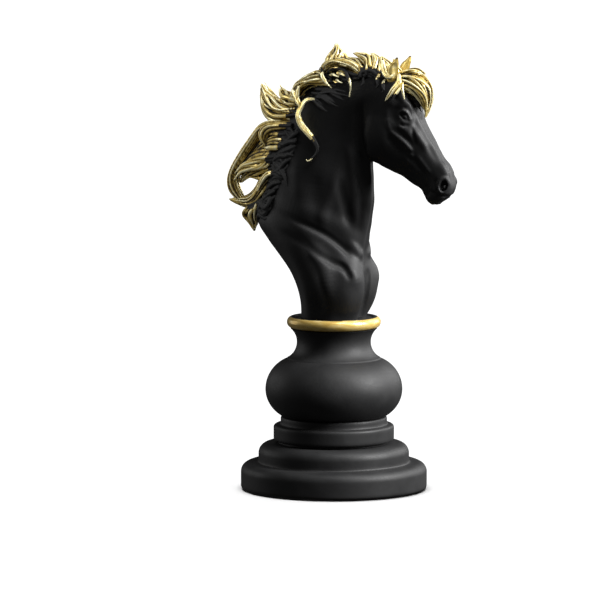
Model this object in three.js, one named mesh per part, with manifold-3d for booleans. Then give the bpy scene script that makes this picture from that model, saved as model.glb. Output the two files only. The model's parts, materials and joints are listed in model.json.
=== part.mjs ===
// A large ornamental chess knight: a turned pedestal of four castings, a horse bust with separately
// cast ears and mane locks, and the hardware that holds the stack together.
//
// Millimetres, +Z up. The origin is the centre of the face that the piece rests on. The horse looks
// along +X, its left side is +Y, and the bust is symmetric about the plane Y = 0 apart from its mane.
import * as THREE from "three";
import { mergeVertices } from "three/addons/utils/BufferGeometryUtils.js";
import Module from "manifold-3d";

const wasm = await Module();
wasm.setup();

// ---------------------------------------------------------------- driving dimensions
const GAP = 0.3; // clearance between neighbouring pieces
const TURNED_SEGMENTS = 48;
const ROUND_SEGMENTS = 20;

const BASE_R = 50;
const SECOND_TIER_R = 40.5;
const FOOT_Z = 0.8; // the plinth's rim stands this far above the table, on the felt
const FIRST_TIER_TOP = 14.5;
const SECOND_TIER_TOP = 25;
const COLLAR_BEAD_R = 32.4;
const COLLAR_RING_R = 28.6;
const COLLAR_BEAD_TOP = 35;
const COLLAR_TOP = 39.3;
const BULB_R = 36.8;
const BULB_Z = 54;
const SHOULDER_Z = 70.4;
const WAIST_Z = 79.4;
const DISC_Z = 92.5; // the face that the bust stands on
const HORN_TIP_Z = 239; // the highest point
const RIM_R = 25.3;
const RIM_Z = 90.2;
const RIM_SEAT_R = 22.3;

const ROD_R = 3; // M6 tie rod
const ROD_BOTTOM = 5.2;
const ROD_TOP = 101;
const BORE_R = ROD_R + 0.4;
const POCKET_R = 34; // ballast pocket in the plinth's underside
const POCKET_ROOF = 13;
const COVER_R = 40.2;
const COVER_TOP = 4.3;
const PAD_R = 44.2;
const PAD_THICKNESS = 1.7;
const PAD_ROOF = PAD_THICKNESS + GAP;
const SCREW_COUNT = 3;
const SCREW_PITCH_R = 37.2;
const SCREW_R = 1.5;
const SPIGOT_R = 8.9; // the bust's foot spigot
const SPIGOT_DEPTH = 8;
const INSERT_R = 4.2;
const INSERT_TOP = 103;
const DOWEL_R = 1.5;
const DOWEL_Y = 13;
const DOWEL_BOTTOM = 86;
const DOWEL_TOP = 99;

// ---------------------------------------------------------------- materials
const material = (color, roughness, metalness) => new THREE.MeshStandardMaterial({ color, roughness, metalness });
const BLACK_RESIN = material(0x191a1b, 0.6, 0);
const GILT_RESIN = material(0xb98a35, 0.35, 0.9);
const STEEL = material(0xa8abae, 0.35, 1);
const BRASS = material(0xc2a14d, 0.35, 1);
const IRON = material(0x4a4a4c, 0.7, 0.8);
const FELT = material(0x1d1d1f, 0.95, 0);

// ---------------------------------------------------------------- solids
const closedSolid = (vertProperties, triVerts) =>
  new wasm.Manifold(new wasm.Mesh({ numProp: 3, vertProperties, triVerts }));

// The solid that a closed geometry bounds, whichever way its faces wind.
const solidOf = (geometry) => {
  const bare = geometry.clone();
  for (const name of ["normal", "uv"]) bare.deleteAttribute(name);
  const merged = mergeVertices(bare, 1e-3);
  const points = merged.attributes.position.array;
  const faces = new Uint32Array(merged.index.array);
  const solid = closedSolid(points, faces);
  return solid.volume() > 0 ? solid : closedSolid(points, faces.slice().reverse());
};

const largestBody = (solid) => {
  const bodies = solid.decompose();
  return bodies.reduce((best, body) => (body.volume() > best.volume() ? body : best), bodies[0]);
};

const geometryOf = (solid) => {
  const mesh = solid.getMesh();
  const geometry = new THREE.BufferGeometry();
  geometry.setAttribute("position", new THREE.BufferAttribute(mesh.vertProperties, 3));
  geometry.setIndex(new THREE.BufferAttribute(mesh.triVerts, 1));
  geometry.computeVertexNormals();
  return geometry;
};

const union = (solids) => solids.reduce((whole, solid) => whole.add(solid));
const cut = (solid, tools) => tools.reduce((rest, tool) => rest.subtract(tool), solid);

// Points of a circular or elliptical arc in the (radius, height) plane, angles in degrees.
const arc = (r, z, radiusR, radiusZ, from, to, steps) =>
  Array.from({ length: steps + 1 }, (_, i) => {
    const angle = THREE.MathUtils.degToRad(from + ((to - from) * i) / steps);
    return [r + radiusR * Math.cos(angle), z + radiusZ * Math.sin(angle)];
  });

// A turned solid from [radius, height] points. A profile with a bore closes on itself.
const turned = (profile, segments = TURNED_SEGMENTS) => {
  const points = profile.map(([r, z]) => new THREE.Vector2(r, z));
  if (profile[0][0] > 0) points.push(points[0].clone());
  return solidOf(new THREE.LatheGeometry(points, segments).rotateX(Math.PI / 2));
};

const rod = (radius, bottom, top, x = 0, y = 0, segments = ROUND_SEGMENTS) =>
  solidOf(
    new THREE.CylinderGeometry(radius, radius, top - bottom, segments)
      .rotateX(Math.PI / 2)
      .translate(x, y, (top + bottom) / 2),
  );

// A solid through closed rings of equal length, with a flat fan over each end.
const skin = (rings) => {
  const sides = rings[0].length;
  const positions = rings.flat().flatMap((p) => [p.x, p.y, p.z]);
  const faces = [];
  for (let i = 0; i + 1 < rings.length; i++)
    for (let j = 0; j < sides; j++) {
      const k = (j + 1) % sides;
      const [a, b] = [i * sides + j, i * sides + k];
      faces.push(a, b, b + sides, a, b + sides, a + sides);
    }
  for (const [ring, flip] of [[0, true], [rings.length - 1, false]]) {
    const middle = rings[ring].reduce((sum, p) => sum.add(p), new THREE.Vector3()).divideScalar(sides);
    const hub = positions.length / 3;
    positions.push(middle.x, middle.y, middle.z);
    for (let j = 0; j < sides; j++) {
      const [a, b] = [ring * sides + j, ring * sides + ((j + 1) % sides)];
      faces.push(...(flip ? [b, a, hub] : [a, b, hub]));
    }
  }
  const geometry = new THREE.BufferGeometry();
  geometry.setAttribute("position", new THREE.Float32BufferAttribute(positions, 3));
  geometry.setIndex(faces);
  return solidOf(geometry);
};

// Values between stations, on one smooth curve for each column.
const smooth = (stations, count) => {
  const columns = stations[0].map((_, column) =>
    new THREE.CatmullRomCurve3(stations.map((row, i) => new THREE.Vector3(i, row[column], 0)), false, "catmullrom", 0.5),
  );
  return Array.from({ length: count + 1 }, (_, i) => columns.map((curve) => curve.getPoint(i / count).y));
};

// ---------------------------------------------------------------- the bust
// Each station is a section through the body, square to its length: the X and Z of its front, the X and Z
// of its back, and its half-width in Y.
const NECK_STATIONS = [
  [17.8, DISC_Z + GAP, -17.4, DISC_Z + GAP, 17.6],
  [21.8, 102, -17.8, 101, 19.8],
  [25, 111, -20.3, 109.5, 21],
  [22.3, 120, -24.4, 117.5, 21],
  [21, 129, -30.8, 125.2, 20.3],
  [21, 137.5, -38, 133.5, 19.3],
  [22.8, 147, -44.5, 143, 18.2],
  [23.8, 157, -41, 155, 17],
  [22.6, 168, -36, 170, 15.8],
  [20.8, 178, -31.5, 186, 14.3],
  [22, 187, -25, 202, 12.8],
  [28, 195, -13, 214.3, 12],
  [36, 200, 3, 222.8, 11],
  [42, 205, 20, 225, 9.5],
];
const HEAD_STATIONS = [
  [33, 227, 18, 218, 7],
  [42, 221.5, 19, 206, 10.3],
  [47.3, 214.5, 21, 194.5, 12.2],
  [50.8, 207.5, 23.5, 185.5, 13],
  [54, 200.5, 28.5, 178, 12.2],
  [57.7, 193.6, 36.5, 173.8, 10.8],
  [61.6, 187, 42.5, 171.2, 9.3],
  [65.4, 180.3, 48.5, 167.2, 8],
  [69, 174.6, 53.5, 164.3, 7.2],
  [71.8, 169.8, 55.8, 160.8, 7],
  [72.4, 165.2, 58.8, 157.8, 6.4],
  [70.2, 161, 62.2, 156.9, 5],
];
const BODY_SIDES = 24;

const body = (stations, rings, grow) =>
  skin(
    smooth(stations, rings).map(([frontX, frontZ, backX, backZ, halfWidth]) => {
      const middle = new THREE.Vector3((frontX + backX) / 2, 0, (frontZ + backZ) / 2);
      const depth = new THREE.Vector3((frontX - backX) / 2, 0, (frontZ - backZ) / 2);
      depth.setLength(depth.length() + grow);
      return Array.from({ length: BODY_SIDES }, (_, i) => {
        const angle = (2 * Math.PI * i) / BODY_SIDES;
        const point = middle.clone().addScaledVector(depth, Math.cos(angle));
        point.y = (halfWidth + grow) * Math.sin(angle);
        return point;
      });
    }),
  );

const JOWL = { x: 33.5, z: 193, radius: 13.6, halfWidth: 13.4 };

const jowls = (grow) =>
  solidOf(
    new THREE.SphereGeometry(1, 20, 14)
      .rotateX(Math.PI / 2)
      .scale(JOWL.radius + grow, JOWL.halfWidth + grow, JOWL.radius + grow)
      .translate(JOWL.x, 0, JOWL.z),
  );

const bustForm = (grow = 0) =>
  union([body(NECK_STATIONS, 24, grow), body(HEAD_STATIONS, 20, grow), jowls(grow)]);

const dowelHoles = [-1, 1].map((side) =>
  rod(DOWEL_R + GAP, DOWEL_BOTTOM - GAP, DOWEL_TOP + GAP, 0, side * DOWEL_Y),
);

const horseBust = () =>
  cut(bustForm().add(rod(SPIGOT_R, DISC_Z - SPIGOT_DEPTH + GAP, DISC_Z + 2 * GAP, 0, 0, 32)), [
    rod(INSERT_R + GAP, DISC_Z - SPIGOT_DEPTH - 1, INSERT_TOP + GAP),
    ...dowelHoles,
  ]);

// ---------------------------------------------------------------- locks of the mane
// A lock is a tapering ribbon along the crest. Each station is the X, Y and Z of its middle line, its
// half-width in the plane of the crest, and its half-thickness across that plane.
const LOCK_SIDES = 8;
const RINGS_PER_STATION = 3;

const lock = (stations, grow) => {
  const rows = smooth(stations, (stations.length - 1) * RINGS_PER_STATION);
  const middles = rows.map(([x, y, z]) => new THREE.Vector3(x, y, z));
  return skin(
    rows.map(([, , , halfWidth, halfThickness], i) => {
      const along = middles[Math.min(i + 1, rows.length - 1)].clone().sub(middles[Math.max(i - 1, 0)]).normalize();
      const wide = new THREE.Vector3(0, 1, 0).cross(along).normalize();
      const thick = along.clone().cross(wide);
      return Array.from({ length: LOCK_SIDES }, (_, j) => {
        const angle = (2 * Math.PI * j) / LOCK_SIDES;
        return middles[i]
          .clone()
          .addScaledVector(wide, (halfWidth + grow) * Math.cos(angle))
          .addScaledVector(thick, (halfThickness + grow) * Math.sin(angle));
      });
    }),
  );
};

const mirrored = (stations) => stations.map(([x, y, z, ...sizes]) => [x, -y, z, ...sizes]);

const SIDE_CURL = [
  [-14, -7.5, 214.5, 2, 2.2],
  [-12.8, -9, 208.7, 2.2, 2.2],
  [-14.2, -9.8, 203.3, 2.1, 2],
  [-13, -11, 198, 1.9, 2],
  [-8.6, -12.6, 193.2, 1.7, 1.9],
  [-3.5, -13.9, 188.7, 1.4, 1.8],
  [0.2, -14.4, 184.2, 1.2, 1.7],
  [-0.9, -14.9, 180.4, 1, 1.6],
  [-5, -15.1, 178, 0.5, 1.2],
];

// In the order that they are bonded on: each is cut to sit against the bust and those before it.
const MANE = {
  forelock: [
    [
      [38, 0, 223.5, 2.2, 5],
      [43.5, 0, 223.8, 2.8, 7],
      [49, 0, 221.4, 3.4, 7.5],
      [53, 0, 216.2, 3.6, 6.5],
      [54.8, 0, 210.2, 2.8, 4.5],
      [54.3, 0, 203.5, 0.6, 1.5],
    ],
  ],
  mane_poll: [
    [
      [35, 0, 222.8, 2.5, 6],
      [29.5, 0, 224.6, 3.2, 7],
      [23, 0, 226.8, 3.6, 7.5],
      [17, 0, 227.2, 3.4, 7],
    ],
    [
      [24, 0, 228.5, 3, 4],
      [19, 0, 232.4, 2.2, 3],
      [14.5, 0, 235.8, 0.6, 0.8],
    ],
    [
      [30, 0, 226.5, 3, 4],
      [25.5, 0, 230.5, 2, 3],
      [21.5, 0, 234.4, 0.6, 0.8],
    ],
    [
      [33.5, 0, 224.3, 2.2, 3],
      [30.5, 0, 227.2, 1.6, 2.2],
      [27.5, 0, 231.8, 0.5, 0.6],
    ],
  ],
  mane_crest: [
    [
      [18, 0, 225.6, 3, 7],
      [13.5, 0, 227.8, 3.4, 8.5],
      [7.5, 0, 229.2, 3.6, 9],
      [1, 0, 229.4, 3.6, 8.5],
      [-3.6, 0, 226.4, 3.2, 7.5],
      [-2.5, 0, 220.5, 2.6, 6.5],
    ],
    [
      [4.2, 0, 229.4, 3.2, 3.4],
      [3, 0, 234, 2.2, 2.2],
      [1.8, 0, HORN_TIP_Z, 0.4, 0.4],
    ],
  ],
  mane_mid: [
    [
      [-1, 0, 217.6, 3.4, 8],
      [-9.5, 0, 219.2, 3.8, 8.5],
      [-16, 0, 216.7, 3.8, 8],
      [-20.8, 0, 211.4, 3.6, 7],
      [-23.5, 0, 204.5, 3, 6],
    ],
  ],
  mane_flame: [
    [
      [-17, 0, 200, 6, 8],
      [-27, 0, 200.2, 6, 6.5],
      [-35.5, 0, 203, 6, 4.5],
      [-41, 0, 208.5, 4.5, 2.8],
      [-43.4, 0, 216.4, 0.5, 0.5],
    ],
    [
      [-22, 0, 205, 3, 5.5],
      [-28, 0, 208.5, 2.5, 4],
      [-32.5, 0, 213.3, 0.5, 0.6],
    ],
  ],
  mane_wing: [
    [
      [-21, 0, 191, 5, 7],
      [-29, 0, 192, 6, 6.5],
      [-36.7, 0, 191.2, 6, 5.5],
      [-42.7, 0, 187, 6, 4.8],
      [-49, 0, 180.2, 5.4, 4],
      [-56.4, 0, 171.3, 4.8, 3.3],
      [-61.1, 0, 164.8, 4, 2.8],
      [-62.2, 0, 160, 3, 2.4],
      [-60.5, 0, 156.6, 2.3, 2],
      [-57, 0, 154.7, 1.2, 1.4],
    ],
    [
      [-26, 0, 181, 8, 7],
      [-36, 0, 178, 7.5, 5.5],
      [-46, 0, 171.6, 6.4, 4],
      [-54, 0, 167, 3, 2.6],
    ],
  ],
  mane_hook: [
    [
      [-31, 0, 172, 4.2, 7],
      [-38, 0, 165.8, 3.8, 5],
      [-43, 0, 159.5, 3, 3.5],
      [-48, 0, 154, 2.6, 3],
      [-54, 0, 151.2, 2.4, 2.5],
      [-60, 0, 151.2, 1.6, 1.8],
      [-64.6, 0, 153.4, 0.4, 0.4],
    ],
  ],
  mane_tail: [
    [
      [-37, 0, 157, 4, 6],
      [-45, 0, 152.2, 5.2, 4.8],
      [-50.5, 0, 146, 5, 3.4],
      [-51, 0, 141, 2.8, 2.2],
      [-50, 0, 136.8, 0.4, 0.4],
    ],
  ],
  mane_curl_right: [SIDE_CURL],
  mane_curl_left: [mirrored(SIDE_CURL)],
};

const EAR = [
  [37, -6.4, 221.5, 2.6, 2.2],
  [38, -6.8, 225, 3, 2.4],
  [39.4, -7.2, 228.6, 2.4, 1.8],
  [41, -7.6, 232.6, 0.4, 0.4],
];
const EARS = { ear_right: [EAR], ear_left: [mirrored(EAR)] };

const seatedPieces = () => {
  const placed = [bustForm(GAP)];
  const pieces = {};
  for (const [name, locks] of Object.entries({ ...EARS, ...MANE })) {
    pieces[name] = largestBody(cut(union(locks.map((stations) => lock(stations, 0))), placed));
    placed.push(union(locks.map((stations) => lock(stations, GAP))));
  }
  return pieces;
};

// ---------------------------------------------------------------- the pedestal
const aroundScrews = (make) =>
  Array.from({ length: SCREW_COUNT }, (_, i) => {
    const angle = (2 * Math.PI * i) / SCREW_COUNT;
    return make(SCREW_PITCH_R * Math.cos(angle), SCREW_PITCH_R * Math.sin(angle));
  });

const plinth = () => {
  const topFillet = 5;
  const tierFillet = 5.5;
  const spigotR = 20;
  return cut(
    turned([
      [BORE_R, SECOND_TIER_TOP - 3],
      [spigotR, SECOND_TIER_TOP - 3],
      [spigotR, SECOND_TIER_TOP],
      ...arc(SECOND_TIER_R - tierFillet, SECOND_TIER_TOP - tierFillet, tierFillet, tierFillet, 90, 0, 5),
      ...arc(SECOND_TIER_R + 1, FIRST_TIER_TOP + 1, 1, 1, 180, 270, 2),
      ...arc(BASE_R - topFillet, FIRST_TIER_TOP - topFillet, topFillet, topFillet, 90, 0, 5),
      ...arc(BASE_R - 1.2, FOOT_Z + 1.2, 1.2, 1.2, 0, -90, 2),
      [PAD_R + GAP, FOOT_Z],
      [PAD_R + GAP, PAD_ROOF],
      [COVER_R + GAP, PAD_ROOF],
      [COVER_R + GAP, COVER_TOP + GAP],
      [POCKET_R, COVER_TOP + GAP],
      [POCKET_R, POCKET_ROOF],
      [BORE_R, POCKET_ROOF],
    ]),
    aroundScrews((x, y) => rod(SCREW_R + GAP, COVER_TOP - 1, 12, x, y, 12)),
  );
};

const collar = () => {
  const fillet = 1.5;
  const neckR = 30;
  const spigotR = 19.7;
  const socketR = 16;
  const bottom = SECOND_TIER_TOP + GAP;
  return turned([
    [BORE_R, bottom - 3],
    [spigotR, bottom - 3],
    [spigotR, bottom],
    [neckR, bottom],
    [neckR, bottom + 1],
    ...arc(COLLAR_BEAD_R - fillet, bottom + 1 + fillet, fillet, fillet, -90, 0, 2),
    ...arc(COLLAR_BEAD_R - fillet, COLLAR_BEAD_TOP - fillet, fillet, fillet, 0, 90, 2),
    [COLLAR_RING_R + 0.8, COLLAR_BEAD_TOP],
    [COLLAR_RING_R, COLLAR_BEAD_TOP + 0.8],
    ...arc(COLLAR_RING_R - 1, COLLAR_TOP - 1, 1, 1, 0, 90, 2),
    [socketR, COLLAR_TOP],
    [socketR, COLLAR_TOP - 3],
    [BORE_R, COLLAR_TOP - 3],
  ]);
};

const bulbBody = () => {
  const bottom = COLLAR_TOP + GAP;
  const spigotR = 15.7;
  const core = 19; // the bulb's section is an ellipse whose middle is this far from the axis
  const belowZ = 16.6;
  const aboveZ = 17.6;
  const degrees = (ratio) => THREE.MathUtils.radToDeg(Math.asin(ratio));
  return cut(
    turned([
      [BORE_R, bottom - 3],
      [spigotR, bottom - 3],
      [spigotR, bottom],
      ...arc(core, BULB_Z, BULB_R - core, belowZ, degrees((bottom - BULB_Z) / belowZ), 0, 6),
      ...arc(core, BULB_Z, BULB_R - core, aboveZ, 10, degrees((SHOULDER_Z - BULB_Z) / aboveZ), 6),
      [25, SHOULDER_Z],
      ...arc(29.6, WAIST_Z, 9.7, 9.7, 237, 131, 8),
      [RIM_SEAT_R, 87.2],
      [RIM_SEAT_R, DISC_Z + 0.6],
      [RIM_SEAT_R - 1.4, DISC_Z],
      [SPIGOT_R + GAP, DISC_Z],
      [SPIGOT_R + GAP, DISC_Z - SPIGOT_DEPTH],
      [BORE_R, DISC_Z - SPIGOT_DEPTH],
    ]),
    dowelHoles,
  );
};

const giltRim = () => {
  const half = 2.95;
  const inner = RIM_SEAT_R + GAP;
  return turned([
    ...arc(inner, RIM_Z, RIM_R - inner, half, -90, 90, 8),
  ]);
};

// ---------------------------------------------------------------- the hardware inside
const countersunk = (x, y, grow) => {
  const head = new THREE.CylinderGeometry(SCREW_R + grow, 2.8 + grow, 1.5, 16);
  return solidOf(head.rotateX(Math.PI / 2).translate(x, y, PAD_ROOF + 0.85)).add(
    rod(SCREW_R + grow - 0.05, PAD_ROOF + 1, 11, x, y, 12),
  );
};

const baseCover = () =>
  cut(
    rod(COVER_R, PAD_ROOF, COVER_TOP, 0, 0, TURNED_SEGMENTS),
    aroundScrews((x, y) =>
      countersunk(x, y, GAP).add(rod(2.8 + GAP, PAD_ROOF - 1, PAD_ROOF + 0.2, x, y, 16)),
    ),
  );

const tieNut = () => rod(10 / Math.sqrt(3), 6.3, 11.3, 0, 0, 6).subtract(rod(BORE_R, 6, 12));
const tieWasher = () => rod(9, 11.5, 12.7, 0, 0, 32).subtract(rod(BORE_R, 11, 13));
const ballastDisc = () => rod(33, 4.9, 12.6, 0, 0, TURNED_SEGMENTS).subtract(rod(10, 4, 13, 0, 0, 32));
const bustInsert = () =>
  rod(INSERT_R, DISC_Z - SPIGOT_DEPTH + 2 * GAP, INSERT_TOP).subtract(rod(BORE_R, 80, ROD_TOP + GAP));
const feltPad = () =>
  turned([[0, 0], [PAD_R - 0.4, 0], [PAD_R, 0.4], [PAD_R, PAD_THICKNESS], [0, PAD_THICKNESS]]);

// ---------------------------------------------------------------- the assembly
const knight = new THREE.Group();

const place = (name, solid, finish) => {
  const mesh = new THREE.Mesh(geometryOf(solid), finish);
  mesh.name = name;
  knight.add(mesh);
};

place("felt_pad", feltPad(), FELT);
place("base_cover", baseCover(), STEEL);
aroundScrews((x, y) => countersunk(x, y, 0)).forEach((screw, i) => place(`cover_screw_${i + 1}`, screw, STEEL));
place("ballast_disc", ballastDisc(), IRON);
place("plinth", plinth(), BLACK_RESIN);
place("collar", collar(), BLACK_RESIN);
place("bulb_body", bulbBody(), BLACK_RESIN);
place("gilt_rim", giltRim(), GILT_RESIN);
place("tie_rod", rod(ROD_R, ROD_BOTTOM, ROD_TOP), STEEL);
place("tie_nut", tieNut(), STEEL);
place("tie_washer", tieWasher(), STEEL);
place("bust_insert", bustInsert(), BRASS);
[-1, 1].forEach((side, i) =>
  place(`locating_dowel_${i + 1}`, rod(DOWEL_R, DOWEL_BOTTOM, DOWEL_TOP, 0, side * DOWEL_Y, 12), STEEL),
);
place("horse_bust", horseBust(), BLACK_RESIN);
for (const [name, solid] of Object.entries(seatedPieces())) place(name, solid, GILT_RESIN);

export default knight;
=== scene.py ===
"""An ornamental chess knight: a horse bust with a gilded mane on a turned pedestal.

The bust and the locks of its mane are sculpted as distance fields in millimetres, in the model's own
frame, and meshed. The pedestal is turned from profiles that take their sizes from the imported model.
"""
import json
import math

import bpy
import numpy as np
import openvdb
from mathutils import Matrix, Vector
from mathutils.bvhtree import BVHTree
from mathutils.kdtree import KDTree


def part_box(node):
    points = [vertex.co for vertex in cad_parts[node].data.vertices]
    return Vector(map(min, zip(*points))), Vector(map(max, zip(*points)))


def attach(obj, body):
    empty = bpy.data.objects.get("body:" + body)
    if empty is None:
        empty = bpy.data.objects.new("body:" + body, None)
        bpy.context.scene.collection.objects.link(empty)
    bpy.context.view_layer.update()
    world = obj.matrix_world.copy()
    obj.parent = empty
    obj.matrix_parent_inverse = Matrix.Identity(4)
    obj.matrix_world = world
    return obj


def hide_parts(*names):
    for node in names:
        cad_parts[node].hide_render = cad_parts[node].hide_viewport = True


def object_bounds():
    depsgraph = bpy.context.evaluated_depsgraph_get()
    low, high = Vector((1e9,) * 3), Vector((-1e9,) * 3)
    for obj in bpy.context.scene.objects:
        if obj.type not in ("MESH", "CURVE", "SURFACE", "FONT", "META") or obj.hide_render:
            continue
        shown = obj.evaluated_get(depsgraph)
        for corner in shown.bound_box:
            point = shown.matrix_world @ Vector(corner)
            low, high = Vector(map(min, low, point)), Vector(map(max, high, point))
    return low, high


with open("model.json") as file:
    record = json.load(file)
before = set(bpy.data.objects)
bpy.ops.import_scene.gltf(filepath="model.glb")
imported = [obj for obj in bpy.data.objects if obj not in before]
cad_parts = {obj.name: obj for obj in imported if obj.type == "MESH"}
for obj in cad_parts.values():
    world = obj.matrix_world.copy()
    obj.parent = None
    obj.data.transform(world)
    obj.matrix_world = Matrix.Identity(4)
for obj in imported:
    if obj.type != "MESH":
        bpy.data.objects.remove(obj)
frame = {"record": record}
cad_low, cad_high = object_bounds()

# --- scale and placing
DESIGN_HEIGHT = 239.0  # the height that the sculpt's millimetres are written for
MM = (cad_high.z - cad_low.z) / DESIGN_HEIGHT
FOOT = Vector(frame["record"]["mounts"][0]["pos_m"])  # the centre of the face that it rests on
ROOT = "root"


def low_mm(node):
    return (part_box(node)[0] - FOOT) / MM


def high_mm(node):
    return (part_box(node)[1] - FOOT) / MM


# --- curves and lofts
CURVE_STEPS = 160


def smooth_rows(rows, count):
    """Rows of numbers between the given ones, on a Catmull-Rom curve through them."""
    rows = np.asarray(rows, float)
    last = len(rows) - 1
    t = np.linspace(0, last, count)
    i = np.minimum(t.astype(int), last - 1)
    f = (t - i)[:, None]
    a, b = rows[np.maximum(i - 1, 0)], rows[i]
    c, d = rows[i + 1], rows[np.minimum(i + 2, last)]
    return 0.5 * (2 * b + (c - a) * f + (2 * a - 5 * b + 4 * c - d) * f**2 + (3 * b - a - 3 * c + d) * f**3)


def along(rows, t):
    """Values on the smooth curve through rows at the shares t of its length."""
    rows = np.atleast_1d(np.asarray(rows, float))
    if len(rows) == 1:
        rows = np.repeat(rows, 2, axis=0)
    fine = smooth_rows(rows[:, None] if rows.ndim == 1 else rows, CURVE_STEPS)
    place = np.linspace(0, 1, CURVE_STEPS)
    made = np.stack([np.interp(t, place, column) for column in fine.T], -1)
    return made[..., 0] if rows.ndim == 1 else made


def loft(rings):
    """Points, quads and triangles of a closed skin over rings of equal length."""
    rings = np.asarray(rings, float)
    count, sides = rings.shape[:2]
    points = np.concatenate([rings.reshape(-1, 3), rings[[0, -1]].mean(1)])
    j = np.arange(sides)
    k = (j + 1) % sides
    start = (np.arange(count - 1) * sides)[:, None]
    quads = np.stack([start + j, start + k, start + sides + k, start + sides + j], -1).reshape(-1, 4)
    first, final = count * sides, count * sides + 1
    far = (count - 1) * sides
    near_cap = np.stack([k, j, np.full(sides, first)], -1)
    far_cap = np.stack([far + j, far + k, np.full(sides, final)], -1)
    return points, quads, np.concatenate([near_cap, far_cap])


def joined(skins):
    """One set of points, quads and triangles from several."""
    points, quads, tris, base = [], [], [], 0
    for p, q, t in skins:
        points.append(p)
        quads.append(q + base)
        tris.append(t + base)
        base += len(p)
    return np.concatenate(points), np.concatenate(quads), np.concatenate(tris)


def level_set(skin, cell, half_width):
    """The distance to a skin as a grid with cells of cell millimetres, half_width cells deep."""
    points, quads, tris = skin
    return openvdb.FloatGrid.createLevelSetFromPolygons(
        points.astype(np.float32),
        triangles=tris.astype(np.uint32),
        quads=quads.astype(np.uint32),
        transform=openvdb.createLinearTransform(voxelSize=cell),
        halfWidth=half_width,
    )


def surface(grid):
    """Points and quads of a grid's surface, with faces that point out."""
    points, quads = grid.convertToQuads(isovalue=0.0)
    return points.astype(float), quads[:, ::-1].astype(int)


def edges(quads):
    """The pairs of point numbers along the sides of quads."""
    return np.concatenate([quads[:, [0, 1]], quads[:, [1, 2]], quads[:, [2, 3]], quads[:, [3, 0]]])


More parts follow.
